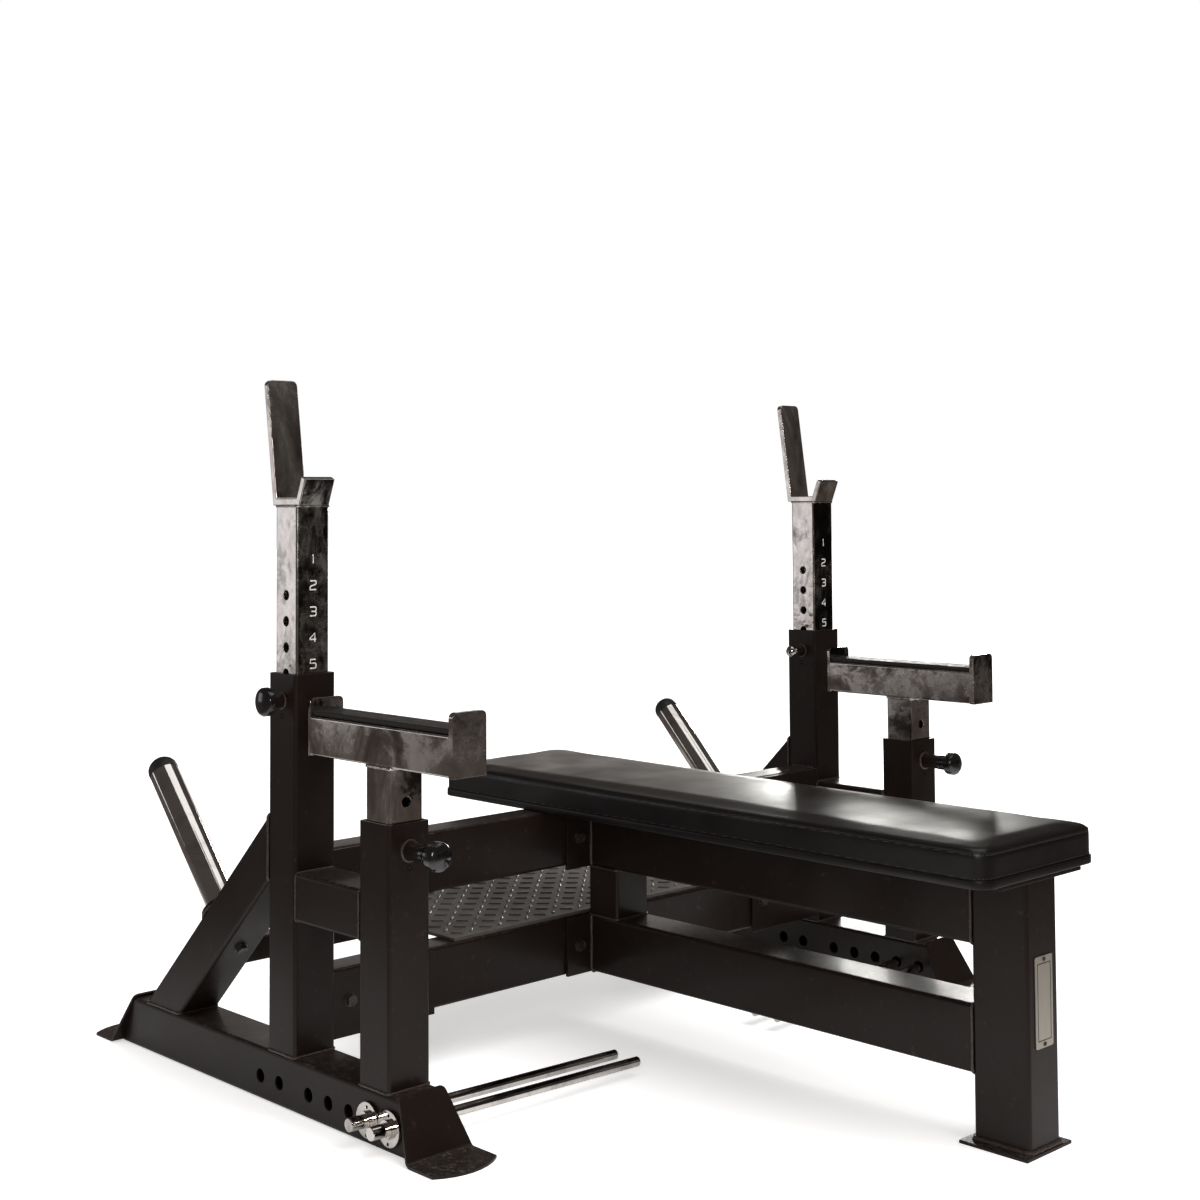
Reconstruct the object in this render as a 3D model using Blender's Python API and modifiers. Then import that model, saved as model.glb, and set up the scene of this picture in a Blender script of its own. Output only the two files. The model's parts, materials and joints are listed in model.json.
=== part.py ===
"""Olympic bench press: two side frames with adjustable racks and spotter arms, joined to a flat bench.

Metres, +Z up. The bench runs along Y, with its front leg at -Y and the racks and platform at +Y;
the left side frame stands at -X. The origin is on the floor, in the middle of the whole outline.
"""
from math import atan2, cos, hypot, pi, radians, sin, sqrt, tan

import bmesh
import bpy
from mathutils import Vector

# General
GAP = 0.0003               # space left between touching pieces
CORNER_STEPS = 3           # facets round a tube's corner
ROUND_STEPS = 24           # facets round a rod or knob

# Side frames
SIDE_X = 0.624             # from the centre line to each side frame's centre plane
RAIL_WIDTH = 0.080
RAIL_HEIGHT = 0.080
RAIL_WALL = 0.004
RAIL_FRONT = 0.268         # upright's front face to the rail's front end, along its top
RAIL_REAR = 0.490          # upright's front face to the rail's rear end, along its top
RAIL_END_RUN = 0.042       # how far the sloped rail ends run out at the floor
TUBE = 0.075               # square tube of uprights, columns, links and braces
TUBE_WALL = 0.004
TUBE_CORNER = 0.006        # outer corner radius of the black tubes
SLEEVE_WALL = 0.005        # wall of the uprights and columns that posts slide in
UPRIGHT_TOP = 0.667
COLUMN_FRONT = 0.242       # upright's front face to the spotter column's front face
COLUMN_TOP = 0.465
LINK_BOTTOM = 0.288        # underside of the link between column and upright
BRACE_TOP = 0.445          # where the brace's upper face meets the upright
BRACE_FOOT = 0.453         # upright's front face to where the brace's upper face meets the rail
BRACE_ANGLE = atan2(BRACE_TOP - RAIL_HEIGHT, BRACE_FOOT - TUBE)

# Foot plates on the rail ends
FOOT_THICKNESS = 0.005
FOOT_RISE = 0.004          # how far the plate stands above the rail
FOOT_HALF_WIDTH = 0.058    # half width from the bend to the toe
FOOT_BEND = 0.012          # radius of the bend at the floor
TOE_CORNER = 0.101         # rail's top end to the toe's corners
TOE_BULGE = 0.020          # how far the toe's middle stands past its corners
FOOT_CORNER = 0.008        # rounded top corners
FOOT_COLUMNS = 8

# Band-peg holes along the rails
PEG_HOLE_RADIUS = 0.011
PEG_HOLE_Z = 0.036
PEG_PITCH = 0.0525
PEG_FIRST_FRONT = -0.0405  # first hole in front of the upright, from the upright's front face
PEG_FRONT_COUNT = 5
PEG_FIRST_REAR = 0.092     # rearmost hole, from the upright's front face
PEG_REAR_COUNT = 2

# Band pegs
PEG_DROOP = radians(1.6)   # the pegs hang down a little in their holes
PEG_RADIUS = 0.008
PEG_REACH = 0.454          # rail's centre to the peg's inner end
PEG_DISC_RADIUS = 0.026
PEG_DISC_THICKNESS = 0.004
PEG_DISC_GAP = 0.0015      # rail's face to the disc
PEG_HUB_RADIUS = 0.014
PEG_HUB_LENGTH = 0.006
PEG_STUB_RADIUS = 0.010
PEG_STUB_LENGTH = 0.026
PEG_EYE_RADIUS = 0.0025    # small holes through the disc
PEG_EYE_PITCH = 0.040

# Sliding posts
POST = 0.060
POST_WALL = 0.003
POST_CORNER = 0.004
POST_CLEARANCE = 0.0003    # each side, between post and liner
LINER_HEIGHT = 0.080
LINER_CORNER = 0.0024      # outer corner radius
LINER_RECESS = 0.001       # liner's top below the tube's top
POST_HOLE_RADIUS = 0.008

# Racks
RACK_POST_TOP = 0.930
RACK_PIN_Z = 0.6255
RACK_PITCH = 0.041
RACK_POSITIONS = 5
RACK_TAIL = 0.150          # post below its lowest hole
HOOK_WIDTH = 0.056
HOOK_THICKNESS = 0.011
HOOK_SEAT_FRONT = 0.0125   # seat's front and rear ends, from the upright's front face
HOOK_SEAT_REAR = 0.069
HOOK_LIP_HEIGHT = 0.034
HOOK_LIP_LEAN = radians(22)
HOOK_BACK_HEIGHT = 0.191
HOOK_BACK_LEAN = radians(8)
HOOK_CORNER = 0.009

# Spotter arms
ARM_PIN_Z = 0.4245
ARM_PITCH = 0.070
ARM_HOLES_BELOW = 1        # spare hole below the engaged one
ARM_HOLES_ABOVE = 1
ARM_TAIL = 0.054
ARM_BOTTOM = 0.546         # underside of the arm tube
ARM_WALL = 0.003
ARM_REAR = 0.031           # upright's front face to the tube's rear end
ARM_FRONT = 0.372          # upright's front face to the tube's front end
FRONT_STOP = (0.010, 0.032)         # end plates: thickness, rise above the arm tube
REAR_STOP = (0.006, 0.027)
STOP_MARGIN = 0.0005       # end plates past the tube at each side and below
STOP_CORNER = 0.008
STRIP_WIDTH = 0.052
STRIP_THICKNESS = 0.008

# Pop pins, pulled outwards from their tube's face
PIN_RADIUS = 0.006
PIN_BORE = 0.0065
PIN_NOSE_GAP = 0.0005      # nose to post
SET_HOLE_RADIUS = 0.004
SET_HOLE_DROP = 0.0245     # pin's axis to the set-screw hole
UPRIGHT_SLEEVE = (0.011, 0.018)     # radius, length
COLUMN_SLEEVE = (0.013, 0.035)
UPRIGHT_KNOB = (0.0225, 0.018)      # radius, length
COLUMN_KNOB = (0.0215, 0.026)
SMALL_KNOB_RADIUS = 0.011
SMALL_KNOB_LENGTH = 0.014
UPRIGHT_NECK = (0.008, 0.0025)
COLUMN_NECK = (0.014, 0.018)
STEM_RADIUS = 0.003
STEM_LENGTH = 0.008
NECK_GROOVE = 0.003        # groove half way along the column pin's neck
SLEEVE_TO_PIN = 0.0015     # sleeve's mouth to the pin's shoulder

# Weight horns on the braces
HORN_ALONG = 0.265         # from the brace's top, along its upper face
HORN_LENGTH = 0.284
HORN_RADIUS = 0.025
HORN_FLANGE_RADIUS = 0.036
HORN_FLANGE_THICKNESS = 0.008
HORN_CAP_RADIUS = 0.0256
HORN_CAP_LENGTH = 0.028

# Cross beams between the side frames
CROSS_SETBACK = 0.0075     # upright's front face to the beams' front faces
CROSS_DEPTH = 0.060
CROSS_HEIGHT = 0.100
CROSS_LOWER_BOTTOM = RAIL_HEIGHT + 0.020
CROSS_UPPER_BOTTOM = 0.290
PLATE_THICKNESS = 0.006    # bolted plates in front of the cross beams
TAB_REACH = 0.1965         # upright's inner face to the tab's end
LOWER_TAB = (-0.006, 0.096)         # tab's bottom and top, from its beam's underside
UPPER_TAB = (0.002, 0.098)
BOLT_HOLE_RADIUS = 0.0055
FLANGE_WIDTH = 0.190
FLANGE_BOLT_X = 0.066
FLANGE_BOLT_RISE = (0.001, 0.004)   # lower and upper bolts above their flanges' middles
TAB_BOLT_X = 0.0295        # upright's inner face to the first tab bolt

# Bench
BENCH_WIDTH = 0.0775       # width of the leg, the beams and the rear post
BENCH_WALL = 0.004
BEAM_HEIGHT = 0.100
BEAM_LOWER_BOTTOM = CROSS_LOWER_BOTTOM - 0.002
BEAM_UPPER_BOTTOM = 0.284
LEG_FRONT = 0.911          # upright's front face to the leg's front face
LEG_DEPTH = 0.096
REAR_POST_DEPTH = 0.073
LEG_FOOT_SIDE = 0.018      # foot past the leg at each side, in front and behind
LEG_FOOT_FRONT = 0.007
LEG_FOOT_REAR = 0.014
LEG_FOOT_THICKNESS = 0.005
BOARD_WIDTH = 0.205
BOARD_OVERHANG = 0.002     # board's front in front of the leg
PAD_WIDTH = 0.293
PAD_LENGTH = 1.206
PAD_THICKNESS = 0.0615
PAD_OVERHANG = 0.003       # pad's front in front of the leg
PAD_CORNER = 0.028
NAME_PLATE_WIDTH = 0.044
NAME_PLATE_HEIGHT = 0.130
NAME_PLATE_THICKNESS = 0.0015
NAME_PLATE_BOTTOM = 0.148
NAME_PLATE_SCREW = 0.005   # screw holes from the plate's ends

# Spotter's platform
PLATFORM_WIDTH = 0.680
PLATFORM_DEPTH = 0.408
PLATFORM_THICKNESS = 0.0055
PLATFORM_SETBACK = 0.0045  # cross beam's front face to the platform's front edge
SUPPORT_TUBE = 0.040       # square tube under the platform, between the braces
SUPPORT_WALL = 0.003
SUPPORT_SETBACK = 0.299    # upright's front face to the support's middle

# Places that follow from the sizes above
UPRIGHT_Y = (LEG_FRONT + LEG_FOOT_FRONT - RAIL_REAR - TOE_CORNER - TOE_BULGE) / 2
POST_Y = UPRIGHT_Y + TUBE / 2
COLUMN_Y = UPRIGHT_Y - COLUMN_FRONT
ARM_POST_Y = COLUMN_Y + TUBE / 2
CROSS_Y = UPRIGHT_Y + CROSS_SETBACK
PLATE_Y = CROSS_Y - GAP - PLATE_THICKNESS
LEG_Y = UPRIGHT_Y - LEG_FRONT

COLOURS = {
    "powder_coat": ((0.022, 0.020, 0.019), 0.45, 0.0),
    "chrome": ((0.80, 0.80, 0.81), 0.12, 1.0),
    "black_plastic": ((0.010, 0.010, 0.011), 0.18, 0.0),
    "liner_plastic": ((0.030, 0.030, 0.030), 0.55, 0.0),
    "rubber": ((0.018, 0.018, 0.018), 0.70, 0.0),
    "vinyl": ((0.025, 0.024, 0.024), 0.38, 0.0),
    "tread_plate": ((0.060, 0.058, 0.056), 0.50, 0.0),
    "brushed_metal": ((0.55, 0.54, 0.52), 0.35, 1.0),
}


# ---- Scene helpers ----

def clear_scene():
    for obj in list(bpy.data.objects):
        bpy.data.objects.remove(obj, do_unlink=True)


def new_collection(name):
    collection = bpy.data.collections.new(name)
    bpy.context.scene.collection.children.link(collection)
    return collection


def surface(name, finish):
    colour, roughness, metallic = COLOURS[finish]
    material = bpy.data.materials.new(name)
    material.use_nodes = True
    shader = material.node_tree.nodes["Principled BSDF"]
    shader.inputs["Base Color"].default_value = (*colour, 1.0)
    shader.inputs["Roughness"].default_value = roughness
    shader.inputs["Metallic"].default_value = metallic
    return material


def add_part(name, bm, finish, origin=(0.0, 0.0, 0.0)):
    """A named sub-part from a bmesh in world coordinates, with its own origin and material."""
    bmesh.ops.translate(bm, verts=bm.verts, vec=-Vector(origin))
    mesh = bpy.data.meshes.new(name)
    bm.to_mesh(mesh)
    bm.free()
    obj = bpy.data.objects.new(name, mesh)
    obj.location = origin
    mesh.materials.append(surface(name, finish))
    parts.objects.link(obj)
    return obj


def add_cutter(name, bm):
    mesh = bpy.data.meshes.new(name)
    bm.to_mesh(mesh)
    bm.free()
    obj = bpy.data.objects.new(name, mesh)
    obj.hide_render = True
    obj.display_type = "WIRE"
    cutters.objects.link(obj)
    return obj


def combine(obj, other, operation):
    modifier = obj.modifiers.new(other.name, "BOOLEAN")
    modifier.operation = operation
    modifier.solver = "EXACT"
    modifier.object = other


# ---- Shapes ----

def along(edge, axis):
    """Whether an edge runs along the axis numbered 0, 1 or 2."""
    run = edge.verts[1].co - edge.verts[0].co
    return abs(run[axis]) > 0.99 * run.length


def box(low, high, axis=None, radius=0.0, steps=CORNER_STEPS):
    """A box between two corners, with the edges along one axis rounded."""
    bm = bmesh.new()
    bmesh.ops.create_cube(bm, size=1.0)
    low, high = Vector(low), Vector(high)
    bmesh.ops.scale(bm, verts=bm.verts, vec=high - low)
    bmesh.ops.translate(bm, verts=bm.verts, vec=(low + high) / 2)
    if radius > 0:
        edges = [edge for edge in bm.edges if along(edge, axis)]
        bmesh.ops.bevel(bm, geom=edges, offset=radius, segments=steps, profile=0.5, affect="EDGES")
    return bm


def centred_box(centre, size, axis=None, radius=0.0):
    half = Vector(size) / 2
    return box(Vector(centre) - half, Vector(centre) + half, axis, radius)


def open_ends(bm, axis):
    """Takes the end faces off a box, so that its walls can be made solid."""
    ends = [face for face in bm.faces if abs(face.normal[axis]) > 0.99]
    bmesh.ops.delete(bm, geom=ends, context="FACES_ONLY")


def tube(name, low, high, axis, wall, radius, finish="powder_coat", origin=(0.0, 0.0, 0.0)):
    """A square tube with rounded corners, open at both ends."""
    bm = box(low, high, axis, radius)
    bm.normal_update()
    open_ends(bm, axis)
    obj = add_part(name, bm, finish, origin)
    thicken(obj, wall, -1)
    return obj


def thicken(obj, thickness, side):
    modifier = obj.modifiers.new("wall", "SOLIDIFY")
    modifier.thickness = thickness
    modifier.offset = side
    modifier.use_even_offset = True


def rod_cutter(name, centre, axis, radius, length, steps=16):
    """A round cutter centred on a point, along the axis numbered 0, 1 or 2."""
    bm = bmesh.new()
    bmesh.ops.create_cone(bm, cap_ends=True, segments=steps, radius1=radius, radius2=radius, depth=length)
    turn = Vector((0, 0, 1)).rotation_difference(Vector([1.0 if i == axis else 0.0 for i in range(3)]))
    bmesh.ops.rotate(bm, verts=bm.verts, matrix=turn.to_matrix())
    bmesh.ops.translate(bm, verts=bm.verts, vec=centre)
    return add_cutter(name, bm)


def turned(name, profile, finish, closed=False, steps=ROUND_STEPS):
    """A turned piece: profile is (radius, height) from the top down its outer side."""
    bm = bmesh.new()
    points = [bm.verts.new((radius, 0.0, height)) for radius, height in profile]
    for first, second in zip(points, points[1:]):
        bm.edges.new((first, second))
    if closed:
        bm.edges.new((points[-1], points[0]))
    obj = add_part(name, bm, finish)
    modifier = obj.modifiers.new("turn", "SCREW")
    modifier.axis = "Z"
    modifier.steps = steps
    modifier.render_steps = steps
    modifier.use_merge_vertices = True
    modifier.merge_threshold = 0.00001
    modifier.use_smooth_shade = True
    return obj


def ring_profile(outer, inner, bottom, top):
    return [(inner, top), (outer, top), (outer, bottom), (inner, bottom)]


def dome_profile(radius, bottom, top, edge, steps=5):
    """Outer side of a domed button, from its top down to its lower edge."""
    points = [(0.0, top)]
    for step in range(1, steps + 1):
        angle = pi / 2 * step / steps
        points.append((radius * sin(angle), top - edge * (1 - cos(angle))))
    points.append((radius, bottom + edge / 2))
    points.append((radius - edge / 2, bottom))
    return points


def strip(rows, x_middle, half_width, y_of):
    """An open sheet across X: one row of two points for each (outward, height) of the rows."""
    bm = bmesh.new()
    lines = []
    for outward, height in rows:
        y = y_of(outward)
        lines.append([bm.verts.new((x_middle + side * half_width, y, height)) for side in (-1, 1)])
    for upper, lower in zip(lines, lines[1:]):
        bm.faces.new((upper[0], upper[1], lower[1], lower[0]))
    return bm


# ---- Side frames ----

def peg_hole_places():
    front = [UPRIGHT_Y + PEG_FIRST_FRONT - PEG_PITCH * i for i in range(PEG_FRONT_COUNT)]
    rear = [UPRIGHT_Y + PEG_FIRST_REAR - PEG_PITCH * i for i in range(PEG_REAR_COUNT)]
    return rear + front


def rail_end_cutter(name, x, end_y, outward):
    """A box leaning with the rail's sloped end, just outside it."""
    lean = atan2(RAIL_END_RUN, RAIL_HEIGHT)
    size = 3 * RAIL_HEIGHT
    bm = centred_box((0, 0, 0), (size, size, size))
    bmesh.ops.translate(bm, verts=bm.verts, vec=(0, outward * size / 2, 0))
    for vert in bm.verts:
        vert.co.y -= outward * vert.co.z * tan(lean)
    bmesh.ops.translate(bm, verts=bm.verts, vec=(x, end_y, RAIL_HEIGHT))
    return add_cutter(name, bm)


def base_rail(side, x):
    front, rear = UPRIGHT_Y - RAIL_FRONT, UPRIGHT_Y + RAIL_REAR
    low = (x - RAIL_WIDTH / 2, front - 2 * RAIL_END_RUN, 0)
    high = (x + RAIL_WIDTH / 2, rear + 2 * RAIL_END_RUN, RAIL_HEIGHT)
    rail = tube(side + "_base_rail", low, high, 1, RAIL_WALL, TUBE_CORNER)
    combine(rail, rail_end_cutter(side + "_rail_front_end", x, front, -1), "DIFFERENCE")
    combine(rail, rail_end_cutter(side + "_rail_rear_end", x, rear, 1), "DIFFERENCE")
    for number, y in enumerate(peg_hole_places()):
        name = f"{side}_peg_hole_{number}"
        combine(rail, rod_cutter(name, (x, y, PEG_HOLE_Z), 0, PEG_HOLE_RADIUS, 2 * RAIL_WIDTH), "DIFFERENCE")


def foot_rows():
    """Rows down the foot's rail side and out along the floor: outward, height, half width, bulge share."""
    lean = atan2(RAIL_END_RUN, RAIL_HEIGHT)
    turn = pi / 2 - lean
    start = GAP / cos(lean)
    tangent = FOOT_BEND * tan(turn / 2)
    corner = start + RAIL_END_RUN
    top = RAIL_HEIGHT + FOOT_RISE
    bend_top = tangent * cos(lean)

    def half_width(height):
        share = (top - height) / (top - bend_top)
        return RAIL_WIDTH / 2 + (FOOT_HALF_WIDTH - RAIL_WIDTH / 2) * min(share, 1.0)

    rows = [(start - FOOT_RISE * tan(lean), top, half_width(top), 0.0)]
    steps = 4
    for step in range(steps + 1):
        angle = turn * (1 - step / steps)
        outward = corner + tangent - FOOT_BEND * sin(angle)
        height = FOOT_BEND * (1 - cos(angle))
        rows.append((outward, height, half_width(height), 0.0))
    rows.append((TOE_CORNER, 0.0, FOOT_HALF_WIDTH, 1.0))
    return rows


def foot_plate(name, x, end_y, outward):
    """A bent plate over a rail's sloped end, widening to a rounded toe on the floor."""
    arc = (FOOT_HALF_WIDTH ** 2 + TOE_BULGE ** 2) / (2 * TOE_BULGE)
    bm = bmesh.new()
    lines = []
    for distance, height, half, bulge in foot_rows():
        line = []
        for column in range(FOOT_COLUMNS + 1):
            across = half * (2 * column / FOOT_COLUMNS - 1)
            reach = sqrt(arc ** 2 - across ** 2) - (arc - TOE_BULGE)
            y = end_y + outward * (distance + bulge * reach)
            line.append(bm.verts.new((x + across, y, height)))
        lines.append(line)
    for upper, lower in zip(lines, lines[1:]):
        for left in range(FOOT_COLUMNS):
            corners = [upper[left], lower[left], lower[left + 1], upper[left + 1]]
            bm.faces.new(corners if outward < 0 else corners[::-1])
    corners = [lines[0][0], lines[0][-1]]
    bmesh.ops.bevel(bm, geom=corners, offset=FOOT_CORNER, segments=3, profile=0.5, affect="VERTICES")
    foot = add_part(name, bm, "powder_coat")
    thicken(foot, FOOT_THICKNESS, 1)


def pin_openings(tube_object, name, face, axis, z):
    """The pop pin's hole and the small set-screw hole below it, through one wall."""
    length = TUBE - POST + 2 * SLEEVE_WALL
    combine(tube_object, rod_cutter(name + "_hole", face, axis, PIN_BORE, length), "DIFFERENCE")
    low = Vector(face) - Vector((0, 0, SET_HOLE_DROP))
    combine(tube_object, rod_cutter(name + "_set", low, axis, SET_HOLE_RADIUS, length, 12), "DIFFERENCE")


def upright(side, x, inward):
    """The upright with the two tabs that the cross beams bolt to."""
    low = (x - TUBE / 2, UPRIGHT_Y, RAIL_HEIGHT + GAP)
    high = (x + TUBE / 2, UPRIGHT_Y + TUBE, UPRIGHT_TOP)
    post = tube(side + "_upright", low, high, 2, SLEEVE_WALL, TUBE_CORNER)
    face = x + inward * TUBE / 2
    for name, beam, (bottom, top) in (
        ("lower", CROSS_LOWER_BOTTOM, LOWER_TAB), ("upper", CROSS_UPPER_BOTTOM, UPPER_TAB)
    ):
        ends = sorted((face - inward * SLEEVE_WALL * 0.8, face + inward * TAB_REACH))
        tab = box((ends[0], PLATE_Y, beam + bottom), (ends[1], PLATE_Y + PLATE_THICKNESS, beam + top))
        combine(post, add_cutter(f"{side}_{name}_tab", tab), "UNION")
        for number, reach in enumerate((TAB_BOLT_X, TAB_REACH - TAB_BOLT_X)):
            centre = (face + inward * reach, PLATE_Y, beam + CROSS_HEIGHT / 2)
            hole = rod_cutter(f"{side}_{name}_tab_hole_{number}", centre, 1, BOLT_HOLE_RADIUS, 4 * PLATE_THICKNESS, 12)
            combine(post, hole, "DIFFERENCE")
    pin_openings(post, side + "_rack_pin", (x - TUBE / 2, POST_Y, RACK_PIN_Z), 0, RACK_PIN_Z)


def column(side, x):
    low = (x - TUBE / 2, COLUMN_Y, RAIL_HEIGHT + GAP)
    high = (x + TUBE / 2, COLUMN_Y + TUBE, COLUMN_TOP)
    post = tube(side + "_spotter_column", low, high, 2, SLEEVE_WALL, TUBE_CORNER)
    pin_openings(post, side + "_arm_pin", (x, COLUMN_Y, ARM_PIN_Z), 1, ARM_PIN_Z)


def link(side, x):
    low = (x - TUBE / 2, COLUMN_Y + TUBE + GAP, LINK_BOTTOM)
    high = (x + TUBE / 2, UPRIGHT_Y - GAP, LINK_BOTTOM + TUBE)
    tube(side + "_link", low, high, 1, TUBE_WALL, TUBE_CORNER)


def brace_point(distance, height):
    """A point at a distance down the brace's upper face, and a height above that face: y and z."""
    y = UPRIGHT_Y + TUBE + distance * cos(BRACE_ANGLE) + height * sin(BRACE_ANGLE)
    z = BRACE_TOP - distance * sin(BRACE_ANGLE) + height * cos(BRACE_ANGLE)
    return y, z


def brace(side, x):
    length = 2 * (BRACE_TOP - RAIL_HEIGHT) / sin(BRACE_ANGLE)
    size = Vector((TUBE, length, TUBE))
    body = tube(side + "_brace", -size / 2, size / 2, 1, TUBE_WALL, TUBE_CORNER)
    body.rotation_euler = (-BRACE_ANGLE, 0, 0)
    body.location = (x, *brace_point(length / 4, -TUBE / 2))
    reach = length + TUBE
    wide = TUBE
    upright_side = box(
        (x - wide, UPRIGHT_Y + TUBE + GAP - reach, -reach), (x + wide, UPRIGHT_Y + TUBE + GAP, 2 * reach)
    )
    rail_side = box(
        (x - wide, UPRIGHT_Y, RAIL_HEIGHT + GAP - reach), (x + wide, UPRIGHT_Y + 2 * reach, RAIL_HEIGHT + GAP)
    )
    combine(body, add_cutter(side + "_brace_upright_side", upright_side), "DIFFERENCE")
    combine(body, add_cutter(side + "_brace_rail_side", rail_side), "DIFFERENCE")


def liner(name, x, y, top, axis, hole):
    """A square plastic bush inside a tube's top, which a post slides in."""
    outer = TUBE / 2 - SLEEVE_WALL - GAP
    wall = outer - POST / 2 - POST_CLEARANCE
    low = (x - outer, y - outer, top - LINER_RECESS - LINER_HEIGHT)
    high = (x + outer, y + outer, top - LINER_RECESS)
    bush = tube(name, low, high, 2, wall, LINER_CORNER, "liner_plastic")
    length = TUBE - POST + 2 * SLEEVE_WALL
    combine(bush, rod_cutter(name + "_hole", hole, axis, PIN_BORE, length), "DIFFERENCE")


# ---- Racks and spotter arms ----

def rack_post(side, x):
    holes = [RACK_PIN_Z + RACK_PITCH * i for i in range(RACK_POSITIONS)]
    low = (x - POST / 2, POST_Y - POST / 2, RACK_PIN_Z - RACK_TAIL)
    high = (x + POST / 2, POST_Y + POST / 2, RACK_POST_TOP)
    post = tube(side + "_rack_post", low, high, 2, POST_WALL, POST_CORNER, "chrome", (x, POST_Y, RACK_PIN_Z))
    for number, z in enumerate(holes):
        name = f"{side}_rack_hole_{number}"
        combine(post, rod_cutter(name, (x, POST_Y, z), 0, POST_HOLE_RADIUS, 2 * POST), "DIFFERENCE")


def rack_hook(side, x):
    """A bent plate: a tall back leaning away, a flat seat on the post, and a short lip."""
    seat = RACK_POST_TOP + GAP + HOOK_THICKNESS
    rows = [
        (HOOK_SEAT_REAR + HOOK_BACK_HEIGHT * tan(HOOK_BACK_LEAN), seat + HOOK_BACK_HEIGHT),
        (HOOK_SEAT_REAR, seat),
        (HOOK_SEAT_FRONT, seat),
        (HOOK_SEAT_FRONT - HOOK_LIP_HEIGHT * tan(HOOK_LIP_LEAN), seat + HOOK_LIP_HEIGHT),
    ]
    bm = strip(rows, x, HOOK_WIDTH / 2, lambda outward: UPRIGHT_Y + outward)
    top = max(vert.co.z for vert in bm.verts)
    corners = [vert for vert in bm.verts if vert.co.z > top - GAP]
    bmesh.ops.bevel(bm, geom=corners, offset=HOOK_CORNER, segments=4, profile=0.5, affect="VERTICES")
    hook = add_part(side + "_rack_hook", bm, "chrome", (x, POST_Y, seat))
    thicken(hook, HOOK_THICKNESS, 1)


def arm_post(side, x):
    numbers = range(-ARM_HOLES_BELOW, ARM_HOLES_ABOVE + 1)
    lowest = ARM_PIN_Z - ARM_PITCH * ARM_HOLES_BELOW
    low = (x - POST / 2, ARM_POST_Y - POST / 2, lowest - ARM_TAIL)
    high = (x + POST / 2, ARM_POST_Y + POST / 2, ARM_BOTTOM - GAP)
    post = tube(side + "_arm_post", low, high, 2, POST_WALL, POST_CORNER, "chrome", (x, ARM_POST_Y, ARM_PIN_Z))
    for number in numbers:
        centre = (x, ARM_POST_Y, ARM_PIN_Z + ARM_PITCH * number)
        name = f"{side}_arm_hole_{number + ARM_HOLES_BELOW}"
        combine(post, rod_cutter(name, centre, 1, POST_HOLE_RADIUS, 2 * POST), "DIFFERENCE")


def spotter_arm(side, x):
    """The arm's tube with its two welded end plates, which stand up as stops for the bar."""
    front, rear = UPRIGHT_Y - ARM_FRONT, UPRIGHT_Y - ARM_REAR
    low = (x - POST / 2, front - FRONT_STOP[0] / 2, ARM_BOTTOM)
    high = (x + POST / 2, rear + REAR_STOP[0] / 2, ARM_BOTTOM + POST)
    arm = tube(side + "_spotter_arm", low, high, 1, ARM_WALL, POST_CORNER, "chrome", (x, ARM_POST_Y, ARM_BOTTOM))
    half = POST / 2 + STOP_MARGIN
    for name, near, (thickness, rise) in (("front", front - FRONT_STOP[0], FRONT_STOP), ("rear", rear, REAR_STOP)):
        low = (x - half, near, ARM_BOTTOM - STOP_MARGIN)
        plate = box(low, (x + half, near + thickness, ARM_BOTTOM + POST + rise))
        top = [edge for edge in plate.edges if along(edge, 1) and edge.verts[0].co.z > ARM_BOTTOM + POST]
        bmesh.ops.bevel(plate, geom=top, offset=STOP_CORNER, segments=4, profile=0.5, affect="EDGES")
        combine(arm, add_cutter(f"{side}_{name}_stop", plate), "UNION")
    vent = rod_cutter(side + "_arm_vent", (x, ARM_POST_Y, ARM_BOTTOM), 2, PIN_RADIUS, 4 * ARM_WALL)
    combine(arm, vent, "DIFFERENCE")


def arm_strip(side, x):
    front = UPRIGHT_Y - ARM_FRONT + GAP
    rear = UPRIGHT_Y - ARM_REAR - GAP
    bottom = ARM_BOTTOM + POST + GAP
    low = (x - STRIP_WIDTH / 2, front, bottom)
    high = (x + STRIP_WIDTH / 2, rear, bottom + STRIP_THICKNESS)
    add_part(side + "_arm_strip", box(low, high, 1, 0.002), "rubber", (x, ARM_POST_Y, bottom))


# ---- Pop pins ----

def aim(obj, location, rotation):
    obj.location = location
    obj.rotation_euler = rotation


def nose_profile(depth):
    """The pin's rod inside the sleeve and tube wall, down to its rounded nose."""
    tip = PIN_NOSE_GAP - depth
    return [(PIN_RADIUS, tip + 0.001), (PIN_RADIUS - 0.001, tip), (0.0, tip)]


def knob_pin_profile(sleeve_length, knob, neck):
    """A domed knob on a neck; a long neck has a groove half way along it."""
    (radius, length), (neck_radius, neck_length) = knob, neck
    shoulder = sleeve_length + SLEEVE_TO_PIN
    base = shoulder + neck_length
    profile = dome_profile(radius, base, base + length, 0.4 * length)
    profile.append((neck_radius, base))
    if neck_length > 2 * NECK_GROOVE:
        middle = (shoulder + base) / 2
        inner = neck_radius - NECK_GROOVE
        profile += [(neck_radius, middle + NECK_GROOVE / 2), (inner, middle + NECK_GROOVE / 2)]
        profile += [(inner, middle - NECK_GROOVE / 2), (neck_radius, middle - NECK_GROOVE / 2)]
    return profile + [(neck_radius, shoulder), (PIN_RADIUS, shoulder)]


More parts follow.
